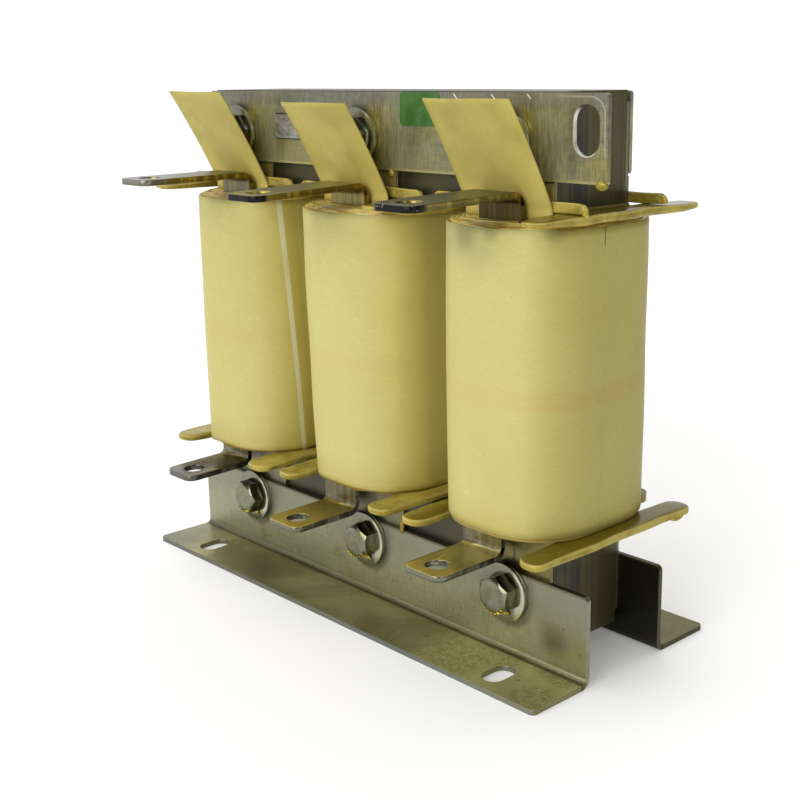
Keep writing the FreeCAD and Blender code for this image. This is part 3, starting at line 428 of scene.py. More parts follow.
# Painted shade, almost black, on the rear bracket's inner face.
inner_face_shade = behind * bracket.between(back, -0.4, -0.8)
bracket.paint(inner_face_shade * 0.8, (0.02, 0.021, 0.014))
specks = bracket.between(bracket.cells(330.0), 0.2, 0.1)
specks *= bracket.between(bracket.cloud(60.0, 3.0), 0.5, 0.62)
bracket.paint(specks * 0.55, (0.05, 0.048, 0.02))
streak = bracket.strip(bracket.across + foot_cloud * 0.003, -0.0712, -0.0696, 0.001)
streak *= bracket.between(bracket.high, 0.02, 0.015) * bracket.between(bracket.high, 0.003, 0.006)
bracket.paint(streak * 0.4, (0.2, 0.17, 0.04))
smudge = bracket.near((0.1, -0.0211, 0.0135), 0.001, 0.009) * bracket.between(foot_cloud, 0.3, 0.6)
bracket.paint(smudge * 0.5, (0.09, 0.088, 0.045))
dark_cloud = bracket.near((-0.049, -0.0386, 0.002), 0.002, 0.016)
dark_cloud *= bracket.between(foot_cloud, 0.35, 0.6)
bracket.paint(dark_cloud * 0.6, (0.08, 0.07, 0.02))
knit = bracket.node("ShaderNodeTexBrick", {"offset": 0.5}, {
    "Vector": bracket.place, "Color1": (0.0, 0.0, 0.0), "Color2": (0.3, 0.3, 0.3),
    "Mortar": (1.0, 1.0, 1.0), "Scale": 1.0, "Mortar Size": 0.00025, "Mortar Smooth": 0.8,
    "Brick Width": 0.0013, "Row Height": 0.0012}, "Color")
ripple = bracket.cloud(420.0, 2.0, 0.6)
knit_height = bracket.split(knit)[0] * bracket.between(ripple, 0.35, 0.6)
knit_place = 0.0
for x, y, reach in KNIT_PATCHES:
    knit_place = bracket.near((x, y, 0.002), reach, reach + 0.005) + knit_place
knit_place = knit_place.math("MINIMUM", knit_place, 1.0) * foot * bracket.between(upward, 0.5, 0.8)
knit_place *= bracket.between(foot_cloud, 0.3, 0.6, 0.3, 1.0)
bracket.paint(knit_place * 0.6,
              bracket.mix(knit_height, (0.32, 0.3, 0.11), (0.95, 0.9, 0.45)))
bracket.wet = bracket.wet + knit_place * knit_height * 1.5
# Painted shade along the inner bend between the upright and the foot.
bend = bracket.strip(bracket.deep.math("ABSOLUTE", bracket.deep), 0.0214, 0.0232, 0.0004)
bend *= bracket.between(bracket.high, 0.0054, 0.004)
bracket.paint(bend * 0.75, (0.05, 0.046, 0.015))
# Darker along the top edge of the upright.
dark_top_edge = bracket.between(bracket.high, 0.0322, 0.0332)
bracket.paint(dark_top_edge * 0.7, (0.07, 0.065, 0.02))
finish_steel(bracket, 0.34, 0.9, 0.25)
for name in ("front_bracket", "rear_bracket"):
    dress(name, bracket, 0.0004)


# Leg tubes: brown paper wound round each leg and its straps and varnished stiff, which keeps
# the winding off the steel. Only a short rim shows between the coil and the yoke.
def paper(name, light, deep, size):
    """Fibrous paper in a light tone with deeper patches of about the given size."""
    sheet = Finish(name)
    sheet.fibre = sheet.cloud(1.0, 4.0, 0.65, sheet.scaled((1300.0, 1300.0, 700.0)))
    sheet.soft = sheet.cloud(1.0 / size, 3.0, 0.55, warp=0.4)
    sheet.tone = sheet.mix(sheet.between(sheet.soft, 0.32, 0.7), light, deep)
    sheet.paint(sheet.between(sheet.fibre, 0.5, 0.8) * 0.2, [c * 0.8 for c in light])
    sheet.felt = sheet.bump(sheet.fibre * 0.4 + sheet.cloud(210.0, 3.0) * 0.6, 0.00006, 0.4)
    return sheet


tube = paper("leg_tube_paper", (0.25, 0.2, 0.05), (0.17, 0.13, 0.028), 0.02)
tube.surface(Base_Color=tube.tone, Roughness=0.4, Specular_IOR_Level=0.3, Normal=tube.felt)
for side in COILS:
    dress(f"leg_tube_{side}", tube, 0.0001)


# Outer wraps: a sheet of cream insulating paper round each winding, glued along one lap that
# shows on the left coil. The varnish left it mottled and amber at the foot; grey patches under
# the top rim are painted shade, and the sides facing right carry painted shade and golden bounce light.
def add_object(name, shape, finish, sharp=35.0):
    """Makes a visible piece of a mesh with one finish, hung under the root body."""
    bmesh.ops.recalc_face_normals(shape, faces=shape.faces)
    mesh = bpy.data.meshes.new(name)
    shape.to_mesh(mesh)
    shape.free()
    mesh.materials.append(finish.material)
    for face in mesh.polygons:
        face.use_smooth = True
    mesh.set_sharp_from_angle(angle=math.radians(sharp))
    piece = bpy.data.objects.new(name, mesh)
    scene.collection.objects.link(piece)
    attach(piece, "root")
    return piece


def box_shape(low, high):
    """A block between two corners."""
    block = bmesh.new()
    bmesh.ops.create_cube(block, size=1.0)
    size = [b - a for a, b in zip(low, high)]
    bmesh.ops.scale(block, vec=size, verts=block.verts)
    bmesh.ops.translate(block, vec=[(a + b) / 2 for a, b in zip(low, high)], verts=block.verts)
    return block


def round_edges(block, axis, radius, sides):
    """Rounds the edges that run along one axis."""
    edges = [e for e in block.edges
             if abs((e.verts[0].co - e.verts[1].co).normalized()[axis]) > 0.99]
    bmesh.ops.bevel(block, geom=edges, offset=radius, segments=sides, affect="EDGES",
                    profile=0.5, material=-1)


def slice_block(block, axis, places):
    """Cuts a shape across one axis at each of the places, so that it can bend there."""
    normal = [0.0, 0.0, 0.0]
    normal[axis] = 1.0
    for place in places:
        cut = [0.0, 0.0, 0.0]
        cut[axis] = place
        bmesh.ops.bisect_plane(block, geom=block.verts[:] + block.edges[:] + block.faces[:],
                               plane_co=cut, plane_no=normal)


def capping(block, axis, sign):
    """The faces that close a shape at one end of an axis."""
    return [f for f in block.faces if f.normal[axis] * sign > 0.9]


COIL_FOOT, COIL_HEIGHT, WRAP_TOP = 0.0504, 0.1068, 0.157
LAP_DEPTH, LAP_SLANT = 0.0207, 0.0626
WRAP_ENDS = {"left": (0.0504, 0.1572), "middle": (0.0504, 0.157), "right": (0.0523, 0.1572)}
WRAP_LEAN = {"left": 0.0, "middle": 0.0033, "right": 0.0}
WRAP_HALF_X, WRAP_HALF_Y, WRAP_CORNER = 0.0295, 0.0344, 0.024
WRAP_WALL = 0.0008
# Dark blots near the top rims under the terminals and sticks: partly varnish blots, partly painted
# shadow of the parts above.
TOP_BLOTS_AND_SHADOWS = (((-0.0057, -0.0344, 0.1535), 0.0012, 0.0052, 0.7),
          ((0.0694, -0.034, 0.1545), 0.001, 0.0085, 0.5),
          ((0.0817, -0.0344, 0.1555), 0.0005, 0.005, 0.45),
          ((0.1012, -0.0243, 0.1565), 0.001, 0.005, 0.4),
          ((-0.0576, -0.0305, 0.1565), 0.001, 0.005, 0.35))
wrap = paper("outer_wrap_paper", (0.53, 0.48, 0.182), (0.5, 0.445, 0.155), 0.045)
wobble = wrap.cloud(55.0, 2.0)
weft = wrap.cloud(1.0, 4.0, 0.75, wrap.scaled((330.0, 330.0, 1300.0)))
wrap.paint(wrap.between(weft, 0.36, 0.64) * 0.36, (0.45, 0.395, 0.13))
pale = wrap.between(wrap.cloud(240.0, 4.0, 0.7), 0.56, 0.7)
pale *= wrap.between(wrap.cloud(26.0, 2.0), 0.35, 0.6)
wrap.paint(pale * 0.35, (0.6, 0.56, 0.26))
rosy = wrap.strip(wrap.high + wobble * 0.007, 0.1022, 0.1062, 0.0022)
rosy *= wrap.between(wrap.across, 0.07, 0.1, 0.3, 0.75)
rosy *= wrap.between(wrap.cloud(120.0, 4.0, 0.6), 0.3, 0.62, 0.35, 1.0)
wrap.paint(rosy * 0.48, (0.52, 0.34, 0.14))
# Painted shade: grey patches just under the top rim.
high_shade_patch = wrap.between(wrap.high, 0.1405, 0.1525) * wrap.between(wrap.cloud(30.0, 2.0), 0.46, 0.66)
wrap.paint(high_shade_patch * 0.38, (0.3, 0.28, 0.15))
low_amber = wrap.between(wrap.high + wobble * 0.012, 0.07, 0.057)
wrap.paint(low_amber * 0.4, (0.42, 0.34, 0.07))
soaked_rim = wrap.between(wrap.high + wobble * 0.0012, 0.0521, 0.0513)
wrap.paint(soaked_rim, (0.26, 0.17, 0.025))
# Varnish blots and painted shadow near the top rims.
for spot, inner, outer, amount in TOP_BLOTS_AND_SHADOWS:
    blot_and_shadow = wrap.near(spot, inner, outer) * wrap.between(wobble, 0.3, 0.55)
    wrap.paint(blot_and_shadow * amount, (0.2, 0.175, 0.07))

lap = wrap.deep + LAP_DEPTH - (WRAP_TOP - wrap.high) * LAP_SLANT
on_left_coil = wrap.strip(wrap.across, -0.063, -0.0462, 0.0005) * wrap.between(wrap.deep, 0.0, -0.004)
lap_strip = wrap.strip(lap, -0.0019, -0.0003, 0.0003) * on_left_coil
lap_shade = wrap.strip(lap, 0.0, 0.0045, 0.0014) * on_left_coil
wrap.paint(lap_shade * 0.4, (0.38, 0.29, 0.05))
hair = wrap.strip(wrap.deep + wobble * 0.0004, -0.00475, -0.00445, 0.0002)
hair *= wrap.between(wrap.across, 0.1, 0.102)
wrap.paint(hair * 0.1, (0.24, 0.19, 0.04))
crack = hair * wrap.between(wrap.high, 0.1495, 0.1515)
wrap.paint(crack * 0.8, (0.09, 0.07, 0.02))
crease = wrap.cloud(1.0, 2.0, 0.5, wrap.scaled((9.0, 9.0, 60.0)))
lap_step = wrap.between(lap, -0.0003, 0.0003) * on_left_coil
wrap_normal = wrap.bump(crease, 0.0004, 0.3, wrap.bump(lap_step, 0.0002, 0.4, wrap.felt))
# Painted shade and golden bounce light on the sides facing right: darker on the right coil, only more
# golden on the others.
shade_tint = wrap.mix(wrap.between(wrap.across, 0.03, 0.07), (1.06, 1.03, 0.8), (0.79, 0.77, 0.62))
right_side_shade = wrap.node("ShaderNodeVectorMath", {"operation": "MULTIPLY"}, {0: wrap.tone, 1: shade_tint})
wrap.paint(wrap.between(wrap.facing("X"), 0.45, 0.95), right_side_shade)
wrap.paint(lap_strip * wrap.between(wobble, 0.2, 0.5, 0.5, 0.9), (0.66, 0.62, 0.4))
wrap.surface(Base_Color=wrap.tone, Roughness=0.45 + wobble * 0.1, Specular_IOR_Level=0.22,
             Normal=wrap_normal)

for side, centre in COILS.items():
    low, high = WRAP_ENDS[side]
    shell = box_shape((-WRAP_HALF_X, -WRAP_HALF_Y, low), (WRAP_HALF_X, WRAP_HALF_Y, high))
    round_edges(shell, 2, WRAP_CORNER, 18)
    bmesh.ops.delete(shell, geom=capping(shell, 2, 1) + capping(shell, 2, -1), context="FACES_ONLY")
    slice_block(shell, 2, [low + (high - low) * i / 36 for i in range(1, 36)])
    slice_block(shell, 0, (-0.0027, 0.0, 0.0027))
    slice_block(shell, 1, (-0.006, 0.0, 0.006))
    for vert in shell.verts:
        rise = (vert.co.z - COIL_FOOT) / COIL_HEIGHT
        seat = vert.co + Vector((centre, 0.0, 0.0))
        outward = Vector((vert.co.x, vert.co.y, 0.0)).normalized()
        vert.co += outward * (0.0003 * math.sin(math.pi * rise) + 0.0003 * noise.noise(seat * 30.0))
        rim = max(0.0, abs(rise - 0.5) - 0.46) / 0.04
        vert.co.z += rim * 0.0008 * noise.noise(seat * 110.0)
        vert.co += Vector((centre, -WRAP_LEAN[side] * rise, 0.0))
    piece = add_object(f"coil_wrap_{side}", shell, wrap)
    wall = piece.modifiers.new("wall", "SOLIDIFY")
    wall.thickness = WRAP_WALL
    wall.offset = -1.0
    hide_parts(f"outer_wrap_{side}")

# Windings: copper strip and paper wound in layers and soaked in amber resin. The layers show
# at the top as rings that rise towards the leg, and at the bottom as a flat dark olive end.
RING_CLIMB = (0.0006, 0.0005, 0.0, 0.0004, -0.0003, 0.0005, 0.0001, 0.0003, -0.0002, 0.0002)
RING_COUNT, RING_WIDTH, RING_STEP_WIDTH = 13, 0.0006, 0.00025
WINDING_FOOT, WINDING_TOP = 0.0508, 0.1592
coil = Finish("resin_winding")
beside = coil.across.math("WRAP", coil.across, COIL_PITCH / 2, -COIL_PITCH / 2)
beside = beside.math("ABSOLUTE", beside)
before = coil.deep.math("ABSOLUTE", coil.deep)
corner_x = beside.math("MAXIMUM", beside - 0.0055, 0.0)
corner_y = before.math("MAXIMUM", before - 0.0104, 0.0)
squares = corner_x * corner_x + corner_y * corner_y
inward = WRAP_CORNER - WRAP_WALL - squares.math("SQRT", squares)
ring_place = coil.node("ShaderNodeCombineXYZ", {}, {
    "X": inward * 1500.0, "Y": coil.across * 45.0, "Z": coil.deep * 45.0})
rings = coil.cloud(1.0, 2.0, 0.6, ring_place)
lumps = coil.cloud(260.0, 3.0, 0.6)
pools = coil.cloud(75.0, 2.0, 0.5)
coil.tone = coil.mix(coil.between(rings, 0.36, 0.5), (0.26, 0.165, 0.022), (0.56, 0.43, 0.1))
coil.paint(coil.between(rings + lumps * 0.3, 0.66, 0.78) * 0.8, (0.76, 0.65, 0.27))
coil.paint(coil.between(pools, 0.54, 0.7) * 0.5, (0.34, 0.22, 0.03))
# Low on the winding its sides are dark olive; faces turned downwards get painted shade, almost black.
underside_shade = coil.between(coil.facing("Z"), -0.4, -0.8)
coil.paint(coil.between(coil.high, 0.1, 0.06),
           coil.mix(underside_shade, (0.3, 0.215, 0.045), (0.05, 0.043, 0.016)))
coil.surface(Base_Color=coil.tone, Roughness=0.3 + lumps * 0.2, Specular_IOR_Level=0.35,
             Normal=coil.bump(rings * 0.6 + lumps * 0.4, 0.0006, 0.7))
for side, centre in COILS.items():
    half_x, half_y = WRAP_HALF_X - WRAP_WALL, WRAP_HALF_Y - WRAP_WALL
    body = box_shape((-half_x, -half_y, WINDING_FOOT), (half_x, half_y, WRAP_TOP - 0.0001))
    round_edges(body, 2, WRAP_CORNER - WRAP_WALL, 18)
    bmesh.ops.inset_region(body, faces=capping(body, 2, -1), thickness=0.002, depth=-0.0008,
                           use_even_offset=True)
    cap = capping(body, 2, 1)
    for ring in range(RING_COUNT):
        climb = RING_CLIMB[ring % len(RING_CLIMB)]
        bmesh.ops.inset_region(body, faces=cap, thickness=RING_STEP_WIDTH, depth=climb,
                               use_even_offset=True)
        bmesh.ops.inset_region(body, faces=cap, thickness=RING_WIDTH, depth=0.0,
                               use_even_offset=True)
    for vert in body.verts:
        rise = (vert.co.z - COIL_FOOT) / COIL_HEIGHT
        seat = vert.co + Vector((centre, 0.0, 0.0))
        if vert.co.z > WRAP_TOP:
            vert.co.z += 0.0005 * noise.noise(seat * 260.0) + 0.0005 * noise.noise(seat * 70.0)
            vert.co.z = min(vert.co.z, WINDING_TOP)
        vert.co += Vector((centre, -WRAP_LEAN[side] * rise, 0.0))
    piece = add_object(f"coil_winding_{side}", body, coil, 60.0)
    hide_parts(f"winding_{side}")

# Spacer sticks and end boards: strips of glass and polyester laminate with sawn round
# ends, driven in round the coils and left waxy and translucent by the varnish dip.
STICK_END_RADIUS, STICK_RIM = 0.0049, 0.0012
laminate = Finish("laminate")
upward = laminate.facing("Z")
flat_top = laminate.between(upward, 0.75, 0.95)
grooves = laminate.cloud(1.0, 3.0, 0.6, laminate.scaled((900.0, 22.0, 900.0)))
mottle = laminate.cloud(95.0, 3.0, 0.6, warp=0.5)
# Painted glints: small bright specks in the varnish.
painted_glints = laminate.between(laminate.cells(620.0), 0.16, 0.08)
painted_glints *= laminate.between(laminate.cloud(90.0), 0.5, 0.6)
laminate.tone = laminate.mix(laminate.between(mottle, 0.38, 0.62),
                             (0.41, 0.325, 0.058), (0.25, 0.19, 0.026))
laminate.paint(laminate.between(grooves, 0.46, 0.66) * 0.5, (0.44, 0.36, 0.09))
# Painted shade on flat tops that lie open to the light: on the right coil and on the top sticks.
open_top_shade = laminate.between(laminate.high, 0.1, 0.14)
open_top_shade = open_top_shade.math("MAXIMUM", open_top_shade, laminate.between(laminate.across, 0.035, 0.05))
laminate.paint(flat_top * open_top_shade * 0.92, (0.125, 0.093, 0.004))
# Painted highlight along the rounded rims, where the surface turns from top to side.
laminate.paint(laminate.strip(upward, 0.3, 0.72, 0.15) * 0.45, (0.55, 0.46, 0.14))
laminate.paint(painted_glints * 0.3, (0.85, 0.82, 0.65))
laminate.surface(Base_Color=laminate.tone, Roughness=0.08 + mottle * 0.2, Specular_IOR_Level=0.15,
                 Subsurface_Weight=0.15, Subsurface_Radius=(0.003, 0.002, 0.0006),
                 Normal=laminate.bump(mottle * 0.7 + grooves * 0.3, 0.0006, 0.5))


def make_stick(node, thinned):
    """Strip with round ends, thinned towards them by the given share and wavy with varnish."""
    low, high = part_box(node)
    stick = box_shape(low, high)
    round_edges(stick, 2, STICK_END_RADIUS, 8)
    rims = [e for e in stick.edges if abs(e.verts[0].co.z - e.verts[1].co.z) < 0.0001]
    bmesh.ops.bevel(stick, geom=rims, offset=STICK_RIM, segments=4, affect="EDGES",
                    profile=0.5, material=-1)
    slice_block(stick, 1, [low[1] + 0.006 + 0.0026 * i for i in range(29)])
    slice_block(stick, 0, [low[0] + 0.0037, low[0] + 0.0074])
    middle_height = (low[2] + high[2]) / 2
    for vert in stick.verts:
        to_end = min(vert.co.y - low[1], high[1] - vert.co.y)
        slim = 1.0 - thinned * max(0.0, 1.0 - to_end / 0.022)
        vert.co.z = middle_height + (vert.co.z - middle_height) * slim
        vert.co.x += 0.0012 * noise.noise(vert.co * 55.0)
        vert.co.z += 0.0004 * noise.noise(vert.co * 75.0 + Vector((7.0, 0.0, 0.0)))
    piece = add_object(node.replace("stick", "spacer"), stick, laminate, 60.0)
    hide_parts(node)


def make_board(node):
    """Upright strip with rounded top corners, wavy along its top."""
    low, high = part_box(node)
    strip = box_shape(low, high)
    ends = [e for e in strip.edges if min(e.verts[0].co.z, e.verts[1].co.z) > high[2] - 0.0001
            and abs(e.verts[0].co.y - e.verts[1].co.y) > 0.001]
    bmesh.ops.bevel(strip, geom=ends, offset=0.0032, segments=8, affect="EDGES",
                    profile=0.5, material=-1)
    bmesh.ops.bevel(strip, geom=[e for e in strip.edges if e.calc_face_angle(0.0) > 0.6],
                    offset=0.0005, segments=3, affect="EDGES", profile=0.5, material=-1)
    slice_block(strip, 0, [low[0] + 0.0035 * i for i in range(1, 20)])
    for vert in strip.verts:
        vert.co.z += 0.0004 * noise.noise(vert.co * 75.0)
        vert.co.y += 0.0002 * noise.noise(vert.co * 90.0)
    piece = add_object(node.replace("board", "strip"), strip, laminate, 60.0)
    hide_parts(node)


for side in COILS:
    for end, thinned in (("bottom", 0.1), ("top", 0.42)):
        for hand in ("a", "b"):
            make_stick(f"{end}_stick_{side}_{hand}", thinned)
    for face in ("front", "rear"):
        make_board(f"{face}_board_{side}")
dress("rear_packing_stick", laminate, 0.0006)


# Terminals: flat copper bar, tinned, punched and bent. Varnish stays on the upright runs
# near the coils and on the bends, and some tips are scorched. A row of LUGS gives one's tip,
# its tones, how far the scorching reaches, and how rough and how metallic it is.
def terminal(name, rim, tip, tip_tone, bend_tone, side_tone, leg_tone, scorch, gloss, metal):
    """Finish of one terminal, whose upper rim and tip are at the given height and depth."""
    lug = Finish(name)
    back = lug.facing("Y")
    flat = lug.between(lug.facing("Z"), 0.45, 0.8)
    cloudy = lug.cloud(85.0, 3.0, 0.55, warp=0.5)
    grain = lug.cloud(1.0, 3.0, 0.6, lug.scaled((700.0, 700.0, 25.0)))
    along = lug.cloud(1.0, 3.0, 0.6, lug.scaled((700.0, 35.0, 700.0)))
    gone = lug.deep - tip + cloudy * 0.012
    top = lug.mix(lug.between(gone, 0.016, 0.034), tip_tone, bend_tone)
    top = lug.mix(lug.between(along, 0.5, 0.64) * 0.25, top, [c * 1.6 for c in bend_tone])
    # Painted reflection: light and dark bands along the side faces.
    reflections = lug.cloud(1.0, 2.0, 0.5, lug.scaled((330.0, 330.0, 12.0)))
    reflection_tone = [c * (0.6 if "top" in name else 0.3) for c in side_tone]
    sheer = lug.mix(lug.between(reflections + along * 0.3, 0.5, 0.7), [c * 1.4 for c in side_tone], reflection_tone)
    sheer = lug.mix(lug.between(gone, 0.022, 0.01), sheer, tip_tone if "left" in name else side_tone)
    under_rim = lug.between(lug.high, rim - 0.0014, rim - 0.0019)
    sheer = lug.mix(under_rim * 0.4, sheer, [c * 0.25 for c in side_tone])
    upright = lug.mix(lug.between(grain, 0.42, 0.6),
                      [c * 0.8 for c in leg_tone], [c * 1.2 for c in leg_tone])
    sheer = lug.mix(lug.between(back, -0.55, -0.85) * lug.between(gone, 0.03, 0.04), sheer, upright)
    lug.tone = lug.mix(flat, sheer, top)
    black = lug.between(gone, scorch + 0.006, scorch * 0.55 + 0.006) * (1.0 - flat)
    lug.paint(black, (0.012, 0.011, 0.011))
    speck = lug.between(lug.cells(800.0), 0.2, 0.1) * lug.between(lug.cloud(170.0), 0.5, 0.58)
    lug.paint(speck * (black * 0.8 + 0.06), (0.75, 0.72, 0.62))
    lug.surface(Base_Color=lug.tone, Metallic=metal, Roughness=gloss + cloudy * 0.12 + grain * 0.06,
                Normal=lug.bump(along * 0.3 + cloudy * 0.7, 0.00008, 0.4))
    return lug


TERMINAL_GAUGE = 0.0024
LUGS = (("top_left", -0.0758, (0.21, 0.205, 0.18), (0.13, 0.12, 0.058), (0.4, 0.3, 0.045),
         (0.17, 0.155, 0.09), 0.0, 0.24, 0.85),
        ("top_middle", -0.0772, (0.24, 0.21, 0.1), (0.27, 0.23, 0.08), (0.38, 0.285, 0.05),
         (0.22, 0.175, 0.06), 0.006, 0.22, 0.85),
        ("top_right", -0.0754, (0.13, 0.122, 0.08), (0.09, 0.082, 0.04), (0.26, 0.205, 0.055),
         (0.06, 0.04, 0.01), 0.0075, 0.2, 0.85),
        ("bottom_left", -0.0551, (0.12, 0.115, 0.096), (0.3, 0.245, 0.075), (0.14, 0.135, 0.108),
         (0.17, 0.155, 0.08), 0.0, 0.16, 0.85),
        ("bottom_middle", -0.0551, (0.62, 0.49, 0.14), (0.45, 0.35, 0.08), (0.17, 0.16, 0.11),
         (0.14, 0.12, 0.06), 0.0, 0.15, 0.72),
        ("bottom_right", -0.0557, (0.54, 0.45, 0.14), (0.8, 0.68, 0.22), (0.18, 0.175, 0.12),
         (0.18, 0.16, 0.09), 0.0, 0.13, 0.72))
for place, *look in LUGS:
    end, side = place.split("_")
    low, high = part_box(f"{end}_terminal_{side}")
    rim = high[2] if end == "top" else low[2] + TERMINAL_GAUGE
    dress(f"{end}_terminal_{side}", terminal(f"terminal_{place}", rim, *look), 0.0003)

# Paper flaps: stiff insulating sheet, tucked in behind each upper terminal, bent forward
# over it and curled by the varnish, which has darkened it in soft blots.
FLAPS = {"left": (0.0362, 0.002, 0.0, 0.0413), "middle": (0.037, 0.0012, 0.0016, 0.037),
         "right": (0.0394, 0.002, 0.0, 0.0394)}
FLAP_BACK, FLAP_STRAIGHT, FLAP_THICKNESS = -0.0221, 0.0026, 0.0004
BEND, SWEEP = 0.0063, 0.284
BEND_TURN = 0.0029 / BEND
flap = paper("flap_paper", (0.5, 0.425, 0.11), (0.43, 0.36, 0.085), 0.025)
blots = flap.cloud(58.0, 3.0, 0.55)
flap.paint(flap.between(blots, 0.42, 0.68) * 0.42, (0.3, 0.235, 0.05))
speckle = flap.between(flap.cloud(330.0, 3.0), 0.4, 0.65)
flap.paint(speckle * 0.25, (0.4, 0.33, 0.09))
# Painted light: the lower part of the flap is lighter than the upper part, which leans over and faces
# down.
lower_half_light = flap.between(flap.high + blots * 0.012, 0.184, 0.172)
flap.paint(lower_half_light * 0.5, (0.55, 0.44, 0.12))
flap.surface(Base_Color=flap.tone, Roughness=0.48, Specular_IOR_Level=0.2,
             Normal=flap.bump(blots, 0.0006, 0.3, flap.felt))
for side, (width, offset, forward, sweep) in FLAPS.items():
    leaf = bmesh.new()
    middle = COILS[side] + offset
    back = FLAP_BACK - forward
    knee = WINDING_TOP + FLAP_STRAIGHT
    foot = [leaf.verts.new((middle + hand * width / 2, back, WINDING_TOP)) for hand in (-1, 1)]
    grown = bmesh.ops.extrude_edge_only(leaf, edges=[leaf.edges.new(foot)])["geom"]
    crest = [v for v in grown if isinstance(v, bmesh.types.BMVert)]
    bmesh.ops.translate(leaf, vec=(0.0, 0.0, FLAP_STRAIGHT), verts=crest)
    fold = [e for e in leaf.edges if e.verts[0] in crest and e.verts[1] in crest]
    last = bmesh.ops.spin(leaf, geom=fold + crest, cent=(middle, back - BEND, knee),
                          axis=(1.0, 0.0, 0.0), angle=BEND_TURN, steps=6)["geom_last"]
    reach = Vector((0.0, math.cos(BEND_TURN), math.sin(BEND_TURN))) * (BEND - SWEEP)
    bmesh.ops.spin(leaf, geom=last, cent=Vector((middle, back - BEND, knee)) + reach,
                   axis=(1.0, 0.0, 0.0), angle=sweep / SWEEP, steps=22)
    slice_block(leaf, 0, [middle - width / 2 + width * i / 16 for i in range(1, 16)])
    for vert in leaf.verts:
        climb = max(0.0, vert.co.z - 0.168) / 0.035
        vert.co.y += 0.0008 * climb * noise.noise(vert.co * 38.0)
        vert.co.z += 0.0003 * climb * noise.noise(vert.co * 60.0)
    piece = add_object(f"paper_flap_{side}", leaf, flap)
    wall = piece.modifiers.new("wall", "SOLIDIFY")
    wall.thickness = FLAP_THICKNESS
    wall.offset = 0.0
    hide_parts(f"flap_{side}")

# Bolts, washers and nuts: zinc plated 5/16 in hardware, one bolt through the straps at each
# end of each leg, its head in front, dipped in varnish with the rest. Each shape is made
# along Z, from its seat outwards, and then laid along Y at every bolt.
zinc = Finish("zinc_plate")
haze = zinc.cloud(190.0, 3.0, 0.6)
zinc.tone = zinc.mix(zinc.between(haze, 0.38, 0.62), (0.23, 0.234, 0.17), (0.165, 0.165, 0.108))
blob = zinc.between(zinc.cloud(150.0, 3.0, 0.55, warp=0.8), 0.56, 0.64)
zinc.paint(blob * 0.5, (0.2, 0.18, 0.04))
upper_flats = zinc.between(zinc.facing("Z"), 0.3, 0.6) * zinc.between(zinc.facing("Y"), -0.6, -0.4)
zinc.paint(upper_flats * 0.85, (0.02, 0.018, 0.008))
on_washer = zinc.strip(zinc.deep, -0.02292, -0.015, 0.0001)
aside = zinc.across.math("WRAP", zinc.across, COIL_PITCH / 2, -COIL_PITCH / 2)
# Painted highlight: a bright crescent on the right side of each front washer.
crescent_highlight = zinc.between(aside + haze * 0.002, 0.006, 0.0085)
washer_highlight_tone = zinc.mix(crescent_highlight, (0.2, 0.203, 0.15), (0.58, 0.59, 0.47))
zinc.paint(on_washer * 0.85, washer_highlight_tone)
zinc.surface(Base_Color=zinc.tone, Metallic=1.0, Roughness=0.14 + haze * 0.12,
             Normal=zinc.bump(haze, 0.00008, 0.3))
WASHER_THICKNESS, SPRING_THICKNESS = 0.0018, 0.002
HEAD_TURNS = (0, 10, 30, 20, 24, 5)


def join(part, whole):
    """Adds one shape to another and frees it."""
    spare = bpy.data.meshes.new("spare")
    part.to_mesh(spare)
    whole.from_mesh(spare)
    bpy.data.meshes.remove(spare)
    part.free()


def lay(made, lift, rear):
    """Copies shapes to the six bolts, standing off the steel in front or behind by the lift."""
    all_in_one = bmesh.new()
    for (x, seat, z), degrees in zip(BOLT_AXES, HEAD_TURNS):
        turn = Matrix.Rotation(math.radians(-90 if rear else 90), 4, "X")
        spin = Matrix.Rotation(math.radians(degrees * (1.7 if rear else 1.0)), 4, "Z")
        place = Matrix.Translation((x, (seat + lift) * (1 if rear else -1), z)) @ turn @ spin
        for part in made:
            copy = part.copy()
            bmesh.ops.transform(copy, matrix=place, verts=copy.verts)
            join(copy, all_in_one)
    for part in made:
        part.free()
    return all_in_one


def lathe(profile, turns=1.0, steps=64, climb=0.0):
    """Turns a profile of (radius, height) points round the Z axis."""
    shape = bmesh.new()
    points = [shape.verts.new((radius, 0.0, height)) for radius, height in profile]
    lines = [shape.edges.new(pair) for pair in zip(points, points[1:])]
    bmesh.ops.spin(shape, geom=points + lines, cent=(0.0, 0.0, 0.0), axis=(0.0, 0.0, 1.0),
                   dvec=(0.0, 0.0, climb / steps), angle=math.tau * turns, steps=steps,
                   use_merge=turns == 1.0 and climb == 0.0)
    return shape


HALF_FLATS, CHAMFER_SHARE, CROWN = 0.00635, 0.9, 0.00008


